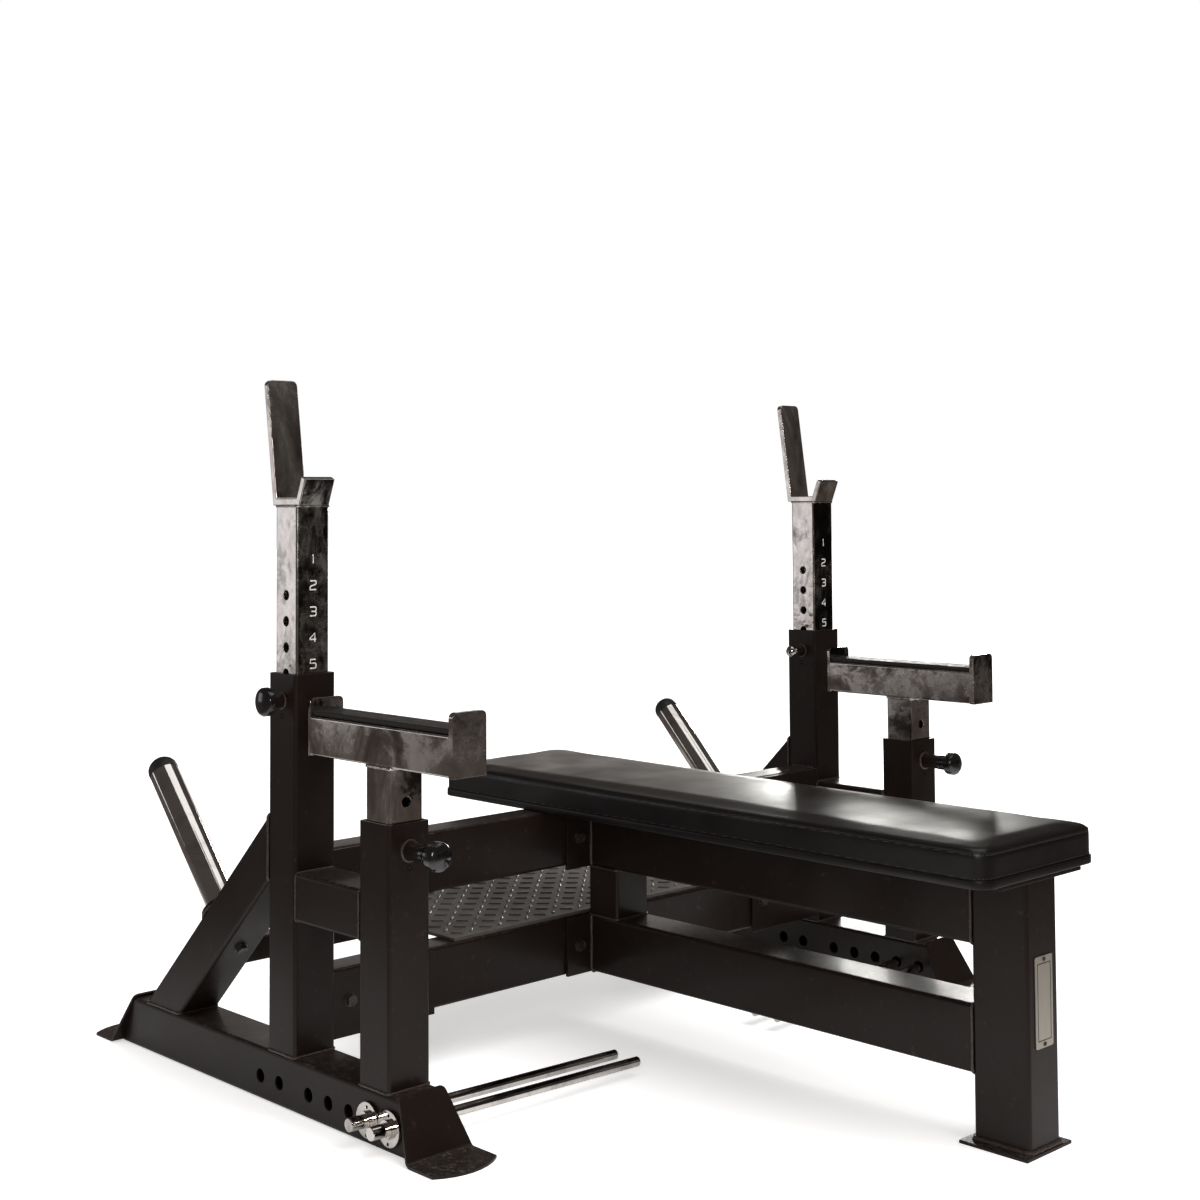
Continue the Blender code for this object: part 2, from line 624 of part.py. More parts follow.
def small_pin_profile(sleeve_length):
    """A small turned knob on a thin stem."""
    shoulder = sleeve_length + SLEEVE_TO_PIN
    base = shoulder + STEM_LENGTH
    top = base + SMALL_KNOB_LENGTH
    return [
        (0.0, top), (0.5 * SMALL_KNOB_RADIUS, top - 0.001), (0.9 * SMALL_KNOB_RADIUS, base + 0.009),
        (SMALL_KNOB_RADIUS, base + 0.007), (0.9 * SMALL_KNOB_RADIUS, base + 0.005), (STEM_RADIUS, base),
        (STEM_RADIUS, shoulder + 0.001), (PIN_RADIUS, shoulder),
    ]


def pop_pin(name, sleeve, place, rotation, profile):
    radius, length = sleeve
    ring = turned(name + "_sleeve", ring_profile(radius, PIN_BORE, GAP, length), "powder_coat", closed=True)
    aim(ring, place, rotation)
    wall = TUBE / 2 - POST / 2
    pin = turned(name, profile + nose_profile(wall), "chrome")
    aim(pin, place, rotation)


def pop_pins(side, x, small):
    facing_x = (0, -pi / 2, 0)
    facing_y = (pi / 2, 0, 0)
    sleeve_length = UPRIGHT_SLEEVE[1]
    profile = small_pin_profile(sleeve_length) if small else knob_pin_profile(sleeve_length, UPRIGHT_KNOB, UPRIGHT_NECK)
    pop_pin(side + "_upright_pin", UPRIGHT_SLEEVE, (x - TUBE / 2, POST_Y, RACK_PIN_Z), facing_x, profile)
    profile = knob_pin_profile(COLUMN_SLEEVE[1], COLUMN_KNOB, COLUMN_NECK)
    pop_pin(side + "_column_pin", COLUMN_SLEEVE, (x, COLUMN_Y, ARM_PIN_Z), facing_y, profile)


# ---- Weight horns and band pegs ----

def weight_horn(side, x):
    rotation = (-BRACE_ANGLE, 0, 0)
    place = (x, *brace_point(HORN_ALONG, GAP))
    flange_profile = ring_profile(HORN_FLANGE_RADIUS, HORN_RADIUS + GAP, 0.0, HORN_FLANGE_THICKNESS)
    aim(turned(side + "_horn_flange", flange_profile, "powder_coat", closed=True), place, rotation)
    horn_profile = [(0.0, HORN_LENGTH), (HORN_RADIUS, HORN_LENGTH), (HORN_RADIUS, 0.0), (0.0, 0.0)]
    aim(turned(side + "_horn", horn_profile, "chrome"), place, rotation)
    bottom = HORN_LENGTH + GAP
    cap_profile = dome_profile(HORN_CAP_RADIUS, bottom, bottom + HORN_CAP_LENGTH, 0.8 * HORN_CAP_LENGTH)
    cap_profile = cap_profile[:-2] + [(HORN_CAP_RADIUS, bottom), (0.0, bottom)]
    aim(turned(side + "_horn_cap", cap_profile, "rubber"), place, rotation)


def band_peg(name, x, y, outward):
    """A rod through the rail with a disc and a stub outside, seen along +Z of its own axes."""
    disc_low = RAIL_WIDTH / 2 + PEG_DISC_GAP
    disc_high = disc_low + PEG_DISC_THICKNESS
    hub_high = disc_high + PEG_HUB_LENGTH
    stub_high = hub_high + PEG_STUB_LENGTH
    chamfer = 0.001
    profile = [
        (0.0, stub_high), (PEG_STUB_RADIUS - chamfer, stub_high), (PEG_STUB_RADIUS, stub_high - chamfer),
        (PEG_STUB_RADIUS, hub_high), (PEG_HUB_RADIUS, hub_high), (PEG_HUB_RADIUS, disc_high),
        (PEG_DISC_RADIUS, disc_high), (PEG_DISC_RADIUS, disc_low), (PEG_RADIUS, disc_low),
        (PEG_RADIUS, chamfer - PEG_REACH), (PEG_RADIUS - chamfer, -PEG_REACH), (0.0, -PEG_REACH),
    ]
    peg = turned(name, profile, "chrome")
    place = Vector((x, y, PEG_HOLE_Z))
    aim(peg, place, (0, outward * (pi / 2 - PEG_DROOP), 0))
    middle = (disc_low + disc_high) / 2
    for number, drop in enumerate((-PEG_EYE_PITCH / 2, PEG_EYE_PITCH / 2)):
        centre = place + Vector((outward * middle, 0, drop))
        eye = rod_cutter(f"{name}_eye_{number}", centre, 0, PEG_EYE_RADIUS, 3 * PEG_DISC_THICKNESS, 10)
        combine(peg, eye, "DIFFERENCE")


def side_frame(side, sign):
    x = sign * SIDE_X
    base_rail(side, x)
    foot_plate(side + "_front_foot", x, UPRIGHT_Y - RAIL_FRONT, -1)
    foot_plate(side + "_rear_foot", x, UPRIGHT_Y + RAIL_REAR, 1)
    upright(side, x, -sign)
    column(side, x)
    link(side, x)
    brace(side, x)
    liner(side + "_upright_liner", x, POST_Y, UPRIGHT_TOP, 0, (x - TUBE / 2, POST_Y, RACK_PIN_Z))
    liner(side + "_column_liner", x, ARM_POST_Y, COLUMN_TOP, 1, (x, COLUMN_Y, ARM_PIN_Z))
    rack_post(side, x)
    rack_hook(side, x)
    arm_post(side, x)
    spotter_arm(side, x)
    arm_strip(side, x)
    pop_pins(side, x, small=sign > 0)
    weight_horn(side, x)
    front_hole, rear_hole = peg_hole_places()[-1], peg_hole_places()[-2]
    band_peg(side + "_front_peg", x, front_hole, sign)
    band_peg(side + "_rear_peg", x, rear_hole, sign)


# ---- Cross beams and platform ----

def cross_beams():
    reach = SIDE_X - TUBE / 2 - GAP
    for name, bottom in (("lower", CROSS_LOWER_BOTTOM), ("upper", CROSS_UPPER_BOTTOM)):
        low = (-reach, CROSS_Y, bottom)
        high = (reach, CROSS_Y + CROSS_DEPTH, bottom + CROSS_HEIGHT)
        tube(name + "_cross_beam", low, high, 0, TUBE_WALL, TUBE_CORNER)


def platform():
    top = CROSS_LOWER_BOTTOM + CROSS_HEIGHT
    front = CROSS_Y + PLATFORM_SETBACK
    low = (-PLATFORM_WIDTH / 2, front, top + GAP)
    high = (PLATFORM_WIDTH / 2, front + PLATFORM_DEPTH, top + GAP + PLATFORM_THICKNESS)
    add_part("platform", box(low, high), "tread_plate")
    reach = SIDE_X - TUBE / 2 - GAP
    middle = UPRIGHT_Y + SUPPORT_SETBACK
    low = (-reach, middle - SUPPORT_TUBE / 2, top - SUPPORT_TUBE)
    tube("platform_support", low, (reach, middle + SUPPORT_TUBE / 2, top), 0, SUPPORT_WALL, POST_CORNER)


# ---- Bench ----

def bench_beams():
    half = BENCH_WIDTH / 2
    for name, bottom, rise in zip(("lower", "upper"), (BEAM_LOWER_BOTTOM, BEAM_UPPER_BOTTOM), FLANGE_BOLT_RISE):
        low = (-half, LEG_Y + LEG_DEPTH + GAP, bottom)
        high = (half, PLATE_Y - GAP, bottom + BEAM_HEIGHT)
        tube(name + "_beam", low, high, 1, BENCH_WALL, TUBE_CORNER)
        flange_low = (-FLANGE_WIDTH / 2, PLATE_Y, bottom)
        flange_high = (FLANGE_WIDTH / 2, PLATE_Y + PLATE_THICKNESS, bottom + BEAM_HEIGHT)
        flange = add_part(name + "_flange", box(flange_low, flange_high), "powder_coat")
        for number, x in enumerate((-FLANGE_BOLT_X, FLANGE_BOLT_X)):
            centre = (x, PLATE_Y, bottom + BEAM_HEIGHT / 2 + rise)
            hole = rod_cutter(f"{name}_flange_hole_{number}", centre, 1, BOLT_HOLE_RADIUS, 4 * PLATE_THICKNESS, 12)
            combine(flange, hole, "DIFFERENCE")


def bench_supports():
    half = BENCH_WIDTH / 2
    beam_top = BEAM_UPPER_BOTTOM + BEAM_HEIGHT
    foot_front = LEG_Y - LEG_FOOT_FRONT
    foot_rear = LEG_Y + LEG_DEPTH + LEG_FOOT_REAR
    foot_half = half + LEG_FOOT_SIDE
    add_part("leg_foot", box((-foot_half, foot_front, 0), (foot_half, foot_rear, LEG_FOOT_THICKNESS)), "powder_coat")
    low = (-half, LEG_Y, LEG_FOOT_THICKNESS + GAP)
    tube("front_leg", low, (half, LEG_Y + LEG_DEPTH, beam_top), 2, BENCH_WALL, TUBE_CORNER)
    rear = CROSS_Y - GAP
    low = (-half, rear - REAR_POST_DEPTH, BEAM_LOWER_BOTTOM + BEAM_HEIGHT + GAP)
    tube("rear_post", low, (half, rear, BEAM_UPPER_BOTTOM - GAP), 2, BENCH_WALL, TUBE_CORNER)


def bench_pad():
    """The pad and the board it is screwed to; the pad's rear rests on the upper cross beam."""
    seat = CROSS_UPPER_BOTTOM + CROSS_HEIGHT
    low = (-BOARD_WIDTH / 2, LEG_Y - BOARD_OVERHANG, BEAM_UPPER_BOTTOM + BEAM_HEIGHT + GAP)
    add_part("pad_board", box(low, (BOARD_WIDTH / 2, PLATE_Y - GAP, seat)), "powder_coat")
    bottom = seat + GAP
    front = LEG_Y - PAD_OVERHANG
    low = (-PAD_WIDTH / 2, front, bottom)
    high = (PAD_WIDTH / 2, front + PAD_LENGTH, bottom + PAD_THICKNESS)
    add_part("pad", box(low, high, 2, PAD_CORNER, 6), "vinyl")


def name_plate():
    front = LEG_Y - GAP - NAME_PLATE_THICKNESS
    half = NAME_PLATE_WIDTH / 2
    top = NAME_PLATE_BOTTOM + NAME_PLATE_HEIGHT
    body = box((-half, front, NAME_PLATE_BOTTOM), (half, LEG_Y - GAP, top), 1, 0.003)
    plate = add_part("name_plate", body, "brushed_metal")
    for number, z in enumerate((NAME_PLATE_BOTTOM + NAME_PLATE_SCREW, top - NAME_PLATE_SCREW)):
        hole = rod_cutter(f"name_plate_hole_{number}", (0, LEG_Y, z), 1, 0.002, 0.01, 10)
        combine(plate, hole, "DIFFERENCE")


clear_scene()
parts = new_collection("olympic_bench_press")
cutters = new_collection("cutters")
side_frame("left", -1)
side_frame("right", 1)
cross_beams()
platform()
bench_beams()
bench_supports()
bench_pad()
name_plate()
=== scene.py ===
import json
import math

import bpy
from mathutils import Matrix, Vector


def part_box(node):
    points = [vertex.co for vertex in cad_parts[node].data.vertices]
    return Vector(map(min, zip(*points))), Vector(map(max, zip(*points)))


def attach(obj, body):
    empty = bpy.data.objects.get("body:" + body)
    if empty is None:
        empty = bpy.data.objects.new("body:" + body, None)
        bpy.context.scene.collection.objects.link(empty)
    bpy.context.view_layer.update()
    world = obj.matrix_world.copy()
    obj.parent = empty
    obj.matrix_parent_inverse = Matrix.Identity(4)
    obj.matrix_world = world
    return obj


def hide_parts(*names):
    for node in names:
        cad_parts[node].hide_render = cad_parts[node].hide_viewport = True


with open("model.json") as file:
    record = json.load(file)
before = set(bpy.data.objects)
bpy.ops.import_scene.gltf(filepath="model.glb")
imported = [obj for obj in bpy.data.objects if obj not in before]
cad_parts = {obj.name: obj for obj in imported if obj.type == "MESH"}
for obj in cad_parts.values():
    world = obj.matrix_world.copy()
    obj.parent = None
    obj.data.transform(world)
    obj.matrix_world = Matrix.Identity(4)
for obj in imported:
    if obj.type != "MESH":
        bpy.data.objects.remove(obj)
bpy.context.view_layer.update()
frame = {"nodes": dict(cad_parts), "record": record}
bodies = frame["record"]["behaviour"]["bodies"]
bodyOf = {node: body for body, names in bodies.items() for node in names}
slotOf = {entry["node"]: entry["material_slot"] for entry in frame["record"]["subparts"]}
sides = {"left": -1, "right": 1}
print("frame loaded:", len(bodyOf), "nodes")


# small tools
def linearColour(code):
    # sRGB hex to the linear colour that a socket takes
    values = [int(code[i:i + 2], 16) / 255 for i in (1, 3, 5)]
    return tuple(v / 12.92 if v <= 0.04045 else ((v + 0.055) / 1.055) ** 2.4 for v in values) + (1.0,)


def addNode(tree, kind, settings=None, links=None):
    node = tree.nodes.new(kind)
    for key, value in (settings or {}).items():
        if isinstance(key, int) or key in node.inputs:
            node.inputs[key].default_value = value
        else:
            setattr(node, key, value)
    for key, source in (links or {}).items():
        tree.links.new(source, node.inputs[key])
    return node


def mixColours(tree, first, second, share):
    # a colour between two hex colours, by a share from 0 to 1
    ends = {"data_type": "RGBA", 6: linearColour(first), 7: linearColour(second)}
    return addNode(tree, "ShaderNodeMix", ends, {0: share})


def newMaterial(name, values):
    material = bpy.data.materials.new(name)
    material.use_nodes = True
    tree = material.node_tree
    shader = tree.nodes["Principled BSDF"]
    for key, value in values.items():
        shader.inputs[key].default_value = value
    place = addNode(tree, "ShaderNodeTexCoord").outputs["Object"]
    return material, tree, shader, place


def deselectAll():
    for obj in list(bpy.context.selected_objects):
        obj.select_set(False)


def pick(*objects):
    deselectAll()
    for obj in objects:
        obj.select_set(True)
    bpy.context.view_layer.objects.active = objects[-1]


def applyAll(obj):
    pick(obj)
    for modifier in list(obj.modifiers):
        bpy.ops.object.modifier_apply(modifier=modifier.name)


def settle(obj, name, material, body):
    # bakes the object's place into its mesh, names it and puts it on its body
    pick(obj)
    bpy.ops.object.transform_apply(location=True, rotation=True, scale=True)
    obj.name = name
    obj.data.name = name
    if material:
        obj.data.materials.clear()
        obj.data.materials.append(material)
    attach(obj, body)
    return obj


def smoothSides(obj, degrees=35):
    pick(obj)
    bpy.ops.object.shade_smooth_by_angle(angle=math.radians(degrees))


def selectEdges(obj, test):
    # selects, in object mode, the edges whose two ends pass the test
    mesh = obj.data
    for face in mesh.polygons:
        face.select = False
    for vert in mesh.vertices:
        vert.select = False
    for edge in mesh.edges:
        a, b = (mesh.vertices[i].co for i in edge.vertices)
        edge.select = test(a, b)
    for edge in mesh.edges:
        if edge.select:
            for i in edge.vertices:
                mesh.vertices[i].select = True


# materials
def powderCoat():
    # steel tube under sprayed and baked polyester powder: satin black with a faint orange peel
    look = {"dark": "#0f0a09", "light": "#1d1410", "dust": "#6a625d", "blotchMm": 120, "peelMm": 2.2, "scuffMm": 14,
            "speckMm": 7}
    gloss = {"IOR": 1.5, "Specular IOR Level": 0.16, "Coat Weight": 0.12, "Coat Roughness": 0.16}
    material, tree, shader, place = newMaterial("powderCoatedSteel", gloss)
    blotch = addNode(tree, "ShaderNodeTexNoise", {"Scale": 1000 / look["blotchMm"], "Detail": 5.0}, {"Vector": place})
    tone = mixColours(tree, look["dark"], look["light"], blotch.outputs["Fac"])
    scuff = addNode(tree, "ShaderNodeTexNoise", {"Scale": 1000 / look["scuffMm"], "Detail": 8.0, "Roughness": 0.7},
                    {"Vector": place})
    scuffShare = addNode(tree, "ShaderNodeMapRange", {"From Min": 0.6, "From Max": 0.8, "To Min": 0.0, "To Max": 0.2},
                         {"Value": scuff.outputs["Fac"]})
    # dust lies on what faces up
    normal = addNode(tree, "ShaderNodeNewGeometry")
    split = addNode(tree, "ShaderNodeSeparateXYZ", {}, {0: normal.outputs["Normal"]})
    upward = addNode(tree, "ShaderNodeMapRange", {"From Min": 0.5, "From Max": 1.0}, {"Value": split.outputs["Z"]})
    speck = addNode(tree, "ShaderNodeTexNoise", {"Scale": 1000 / look["speckMm"], "Detail": 6.0, "Roughness": 0.8},
                    {"Vector": place})
    speckShare = addNode(tree, "ShaderNodeMapRange", {"From Min": 0.52, "From Max": 0.74, "To Min": 0.05,
                                                      "To Max": 0.75},
                         {"Value": speck.outputs["Fac"]})
    cover = addNode(tree, "ShaderNodeMath", {"operation": "MULTIPLY_ADD"},
                    {0: upward.outputs["Result"], 1: speckShare.outputs["Result"], 2: scuffShare.outputs["Result"]})
    colour = addNode(tree, "ShaderNodeMix", {"data_type": "RGBA", 7: linearColour(look["dust"])},
                     {0: cover.outputs[0], 6: tone.outputs[2]})
    rough = addNode(tree, "ShaderNodeMapRange", {"From Min": 0.3, "From Max": 0.7, "To Min": 0.30, "To Max": 0.46},
                    {"Value": blotch.outputs["Fac"]})
    peel = addNode(tree, "ShaderNodeTexNoise", {"Scale": 1000 / look["peelMm"], "Detail": 2.0}, {"Vector": place})
    bump = addNode(tree, "ShaderNodeBump", {"Strength": 0.25, "Distance": 0.0003}, {"Height": peel.outputs["Fac"]})
    tree.links.new(colour.outputs[2], shader.inputs["Base Color"])
    tree.links.new(rough.outputs["Result"], shader.inputs["Roughness"])
    tree.links.new(bump.outputs["Normal"], shader.inputs["Normal"])
    return material


def weldedSteelPaintedShade():
    # weld metal under the same powder coat; its tone is painted lighter on the ripple crests as a painted highlight
    # and darker in the hollows between them as painted shade
    # light is the painted highlight on the ripple crests, dark the painted shade in the hollows
    look = {"dark": "#1f1815", "light": "#3d332e", "rippleMm": 3.2}
    material, tree, shader, place = newMaterial("coatedWeldBeadPaintedShade",
                                                {"IOR": 1.5, "Roughness": 0.36, "Specular IOR Level": 0.35,
                                                 "Coat Weight": 0.3, "Coat Roughness": 0.2})
    ripple = addNode(tree, "ShaderNodeTexVoronoi", {"feature": "SMOOTH_F1", "Scale": 1000 / look["rippleMm"],
                                                    "Smoothness": 0.6},
                     {"Vector": place})
    # painted highlight on the crests and painted shade in the hollows, following the ripples' own bumps
    colour = mixColours(tree, look["light"], look["dark"], ripple.outputs["Distance"])
    bump = addNode(tree, "ShaderNodeBump", {"Strength": 0.8, "Distance": 0.0012, "invert": True},
                   {"Height": ripple.outputs["Distance"]})
    tree.links.new(colour.outputs[2], shader.inputs["Base Color"])
    tree.links.new(bump.outputs["Normal"], shader.inputs["Normal"])
    return material


def chromePlate(name="handledChromePlate", dull="#8b827d", bright="#cfcac5", clear=0.05, hazy=0.46, waveMm=0.0007):
    # bright chrome over steel: its mirror wavers a little and is clouded where hands and sleeves rub it
    look = {"cloudMm": 75, "smearMm": 13, "ripplesMm": 34, "grainMm": 5}
    material, tree, shader, place = newMaterial(name, {"Metallic": 1.0})
    stretch = addNode(tree, "ShaderNodeMapping", {"Scale": (1.0, 0.6, 0.55), "Rotation": (0.5, 0.3, 0.2)},
                      {"Vector": place})
    cloud = addNode(tree, "ShaderNodeTexNoise", {"Scale": 1000 / look["cloudMm"], "Detail": 9.0, "Roughness": 0.62,
                                                 "Distortion": 1.4},
                    {"Vector": stretch.outputs["Vector"]})
    smear = addNode(tree, "ShaderNodeTexNoise", {"Scale": 1000 / look["smearMm"], "Detail": 6.0, "Roughness": 0.6,
                                                 "Distortion": 1.0},
                    {"Vector": stretch.outputs["Vector"]})
    both = addNode(tree, "ShaderNodeMix", {"data_type": "FLOAT", 0: 0.3},
                   {2: cloud.outputs["Fac"], 3: smear.outputs["Fac"]})
    haze = addNode(tree, "ShaderNodeMapRange", {"From Min": 0.44, "From Max": 0.66, "To Min": clear, "To Max": hazy},
                   {"Value": both.outputs[0]})
    worn = addNode(tree, "ShaderNodeMapRange", {"From Min": 0.3, "From Max": 0.52}, {"Value": cloud.outputs["Fac"]})
    colour = mixColours(tree, dull, bright, worn.outputs["Result"])
    ripples = addNode(tree, "ShaderNodeTexNoise", {"Scale": 1000 / look["ripplesMm"], "Detail": 2.0},
                      {"Vector": place})
    wave = addNode(tree, "ShaderNodeBump", {"Strength": 1.0, "Distance": waveMm}, {"Height": ripples.outputs["Fac"]})
    grain = addNode(tree, "ShaderNodeTexNoise", {"Scale": 1000 / look["grainMm"], "Detail": 3.0}, {"Vector": place})
    bump = addNode(tree, "ShaderNodeBump", {"Strength": 0.3, "Distance": 0.0001},
                   {"Height": grain.outputs["Fac"], "Normal": wave.outputs["Normal"]})
    tree.links.new(colour.outputs[2], shader.inputs["Base Color"])
    tree.links.new(haze.outputs["Result"], shader.inputs["Roughness"])
    tree.links.new(bump.outputs["Normal"], shader.inputs["Normal"])
    return material


def glossKnob():
    # moulded phenolic: deep gloss black with faint finger marks
    material, tree, shader, place = newMaterial("mouldedPhenolic",
                                                {"Base Color": linearColour("#0c0b0c"), "IOR": 1.55,
                                                                    "Coat Weight": 0.5, "Coat Roughness": 0.06})
    marks = addNode(tree, "ShaderNodeTexNoise", {"Scale": 1000 / 7, "Detail": 5.0}, {"Vector": place})
    rough = addNode(tree, "ShaderNodeMapRange", {"From Min": 0.4, "From Max": 0.7, "To Min": 0.12, "To Max": 0.3},
                    {"Value": marks.outputs["Fac"]})
    tree.links.new(rough.outputs["Result"], shader.inputs["Roughness"])
    return material


def capRubber():
    # moulded rubber: soft black, scuffed lighter by plates and bars
    material, tree, shader, place = newMaterial("mouldedRubber", {"IOR": 1.52})
    wear = addNode(tree, "ShaderNodeTexNoise", {"Scale": 1000 / 22, "Detail": 8.0, "Roughness": 0.7},
                   {"Vector": place})
    colour = mixColours(tree, "#0b0a0a", "#231f1d", wear.outputs["Fac"])
    rough = addNode(tree, "ShaderNodeMapRange", {"From Min": 0.35, "From Max": 0.65, "To Min": 0.42, "To Max": 0.68},
                    {"Value": wear.outputs["Fac"]})
    pebble = addNode(tree, "ShaderNodeTexNoise", {"Scale": 1000 / 1.8, "Detail": 3.0}, {"Vector": place})
    bump = addNode(tree, "ShaderNodeBump", {"Strength": 0.35, "Distance": 0.0004}, {"Height": pebble.outputs["Fac"]})
    tree.links.new(colour.outputs[2], shader.inputs["Base Color"])
    tree.links.new(rough.outputs["Result"], shader.inputs["Roughness"])
    tree.links.new(bump.outputs["Normal"], shader.inputs["Normal"])
    return material


def padVinyl():
    # embossed upholstery vinyl: pebbled grain about 1.4 mm across, drawn at 2 mm so that it shows
    look = {"dark": "#060404", "light": "#0f0b0a", "grainMm": 2.0, "rubMm": 90}
    material, tree, shader, place = newMaterial("embossedVinyl", {"IOR": 1.5})
    rub = addNode(tree, "ShaderNodeTexNoise", {"Scale": 1000 / look["rubMm"], "Detail": 6.0}, {"Vector": place})
    colour = mixColours(tree, look["dark"], look["light"], rub.outputs["Fac"])
    rough = addNode(tree, "ShaderNodeMapRange", {"From Min": 0.3, "From Max": 0.7, "To Min": 0.28, "To Max": 0.4},
                    {"Value": rub.outputs["Fac"]})
    grain = addNode(tree, "ShaderNodeTexVoronoi", {"feature": "SMOOTH_F1", "Scale": 1000 / look["grainMm"]},
                    {"Vector": place})
    fine = addNode(tree, "ShaderNodeBump", {"Strength": 0.22, "Distance": 0.0003},
                   {"Height": grain.outputs["Distance"]})
    wave = addNode(tree, "ShaderNodeBump", {"Strength": 0.25, "Distance": 0.004},
                   {"Height": rub.outputs["Fac"], "Normal": fine.outputs["Normal"]})
    tree.links.new(colour.outputs[2], shader.inputs["Base Color"])
    tree.links.new(rough.outputs["Result"], shader.inputs["Roughness"])
    tree.links.new(wave.outputs["Normal"], shader.inputs["Normal"])
    return material


def sewingThread():
    # bonded polyester thread: twisted, a little lighter than the vinyl
    material, tree, shader, place = newMaterial("bondedThread", {"Roughness": 0.6})
    twist = addNode(tree, "ShaderNodeTexNoise", {"Scale": 1000 / 1.0, "Detail": 2.0}, {"Vector": place})
    colour = mixColours(tree, "#241f1e", "#4a4340", twist.outputs["Fac"])
    tree.links.new(colour.outputs[2], shader.inputs["Base Color"])
    return material


def treadSteel():
    # rolled tread plate under powder coat: dusty grey where shoes rub the raised bars
    look = {"dark": "#2a2623", "light": "#4c4641", "wearMm": 35}
    material, tree, shader, place = newMaterial("rolledTreadPlate", {"IOR": 1.5})
    wear = addNode(tree, "ShaderNodeTexNoise", {"Scale": 1000 / look["wearMm"], "Detail": 8.0, "Roughness": 0.65},
                   {"Vector": place})
    colour = mixColours(tree, look["dark"], look["light"], wear.outputs["Fac"])
    rough = addNode(tree, "ShaderNodeMapRange", {"From Min": 0.3, "From Max": 0.7, "To Min": 0.38, "To Max": 0.6},
                    {"Value": wear.outputs["Fac"]})
    grit = addNode(tree, "ShaderNodeTexNoise", {"Scale": 1000 / 2.5, "Detail": 3.0}, {"Vector": place})
    bump = addNode(tree, "ShaderNodeBump", {"Strength": 0.3, "Distance": 0.0004}, {"Height": grit.outputs["Fac"]})
    tree.links.new(colour.outputs[2], shader.inputs["Base Color"])
    tree.links.new(rough.outputs["Result"], shader.inputs["Roughness"])
    tree.links.new(bump.outputs["Normal"], shader.inputs["Normal"])
    return material


def brushedPlate():
    # brushed stainless steel: fine lines along the plate's height
    material, tree, shader, place = newMaterial("brushedStainless", {"Metallic": 0.85})
    lines = addNode(tree, "ShaderNodeMapping", {"Scale": (1.0, 1.0, 0.02)}, {"Vector": place})
    brush = addNode(tree, "ShaderNodeTexNoise", {"Scale": 1000 / 0.9, "Detail": 3.0},
                    {"Vector": lines.outputs["Vector"]})
    colour = mixColours(tree, "#9a948a", "#c0baaf", brush.outputs["Fac"])
    rough = addNode(tree, "ShaderNodeMapRange", {"From Min": 0.3, "From Max": 0.7, "To Min": 0.38, "To Max": 0.52},
                    {"Value": brush.outputs["Fac"]})
    tree.links.new(colour.outputs[2], shader.inputs["Base Color"])
    tree.links.new(rough.outputs["Result"], shader.inputs["Roughness"])
    return material


def boltSteel():
    # black oxide on a forged bolt: nearly black metal with oily variation
    material, tree, shader, place = newMaterial("blackOxideSteel", {"Metallic": 0.8})
    oil = addNode(tree, "ShaderNodeTexNoise", {"Scale": 1000 / 6, "Detail": 5.0}, {"Vector": place})
    colour = mixColours(tree, "#2b2826", "#5a5552", oil.outputs["Fac"])
    rough = addNode(tree, "ShaderNodeMapRange", {"From Min": 0.35, "From Max": 0.65, "To Min": 0.26, "To Max": 0.44},
                    {"Value": oil.outputs["Fac"]})
    tree.links.new(colour.outputs[2], shader.inputs["Base Color"])
    tree.links.new(rough.outputs["Result"], shader.inputs["Roughness"])
    return material


def linerNylon():
    # moulded nylon bush: matt black, polished where the post slides
    material, tree, shader, place = newMaterial("mouldedNylon", {"IOR": 1.53})
    rub = addNode(tree, "ShaderNodeTexNoise", {"Scale": 1000 / 8, "Detail": 4.0}, {"Vector": place})
    colour = mixColours(tree, "#100f0f", "#201e1d", rub.outputs["Fac"])
    rough = addNode(tree, "ShaderNodeMapRange", {"From Min": 0.3, "From Max": 0.7, "To Min": 0.35, "To Max": 0.55},
                    {"Value": rub.outputs["Fac"]})
    tree.links.new(colour.outputs[2], shader.inputs["Base Color"])
    tree.links.new(rough.outputs["Result"], shader.inputs["Roughness"])
    return material


def printedInk(name, code, worn):
    # screen-printed enamel ink, worn thin in specks
    material, tree, shader, place = newMaterial(name, {"Roughness": 0.5})
    wear = addNode(tree, "ShaderNodeTexNoise", {"Scale": 1000 / 3, "Detail": 5.0}, {"Vector": place})
    share = addNode(tree, "ShaderNodeMapRange", {"From Min": 0.55, "From Max": 0.75}, {"Value": wear.outputs["Fac"]})
    colour = mixColours(tree, code, worn, share.outputs["Result"])
    tree.links.new(colour.outputs[2], shader.inputs["Base Color"])
    return material


steel = powderCoat()
bead = weldedSteelPaintedShade()
chrome = chromePlate()
rodChrome = chromePlate("polishedChromePlate", "#a39d99", "#d9d5d1", 0.04, 0.16, 0.0002)
knobBlack = glossKnob()
rubber = capRubber()
vinyl = padVinyl()
thread = sewingThread()
tread = treadSteel()
stainless = brushedPlate()
bolt = boltSteel()
nylon = linerNylon()
numberInk = printedInk("greyEnamelInk", "#c4bfba", "#6d6763")
borderInk = printedInk("blackEnamelInk", "#1b1918", "#4a4540")
print("materials made")


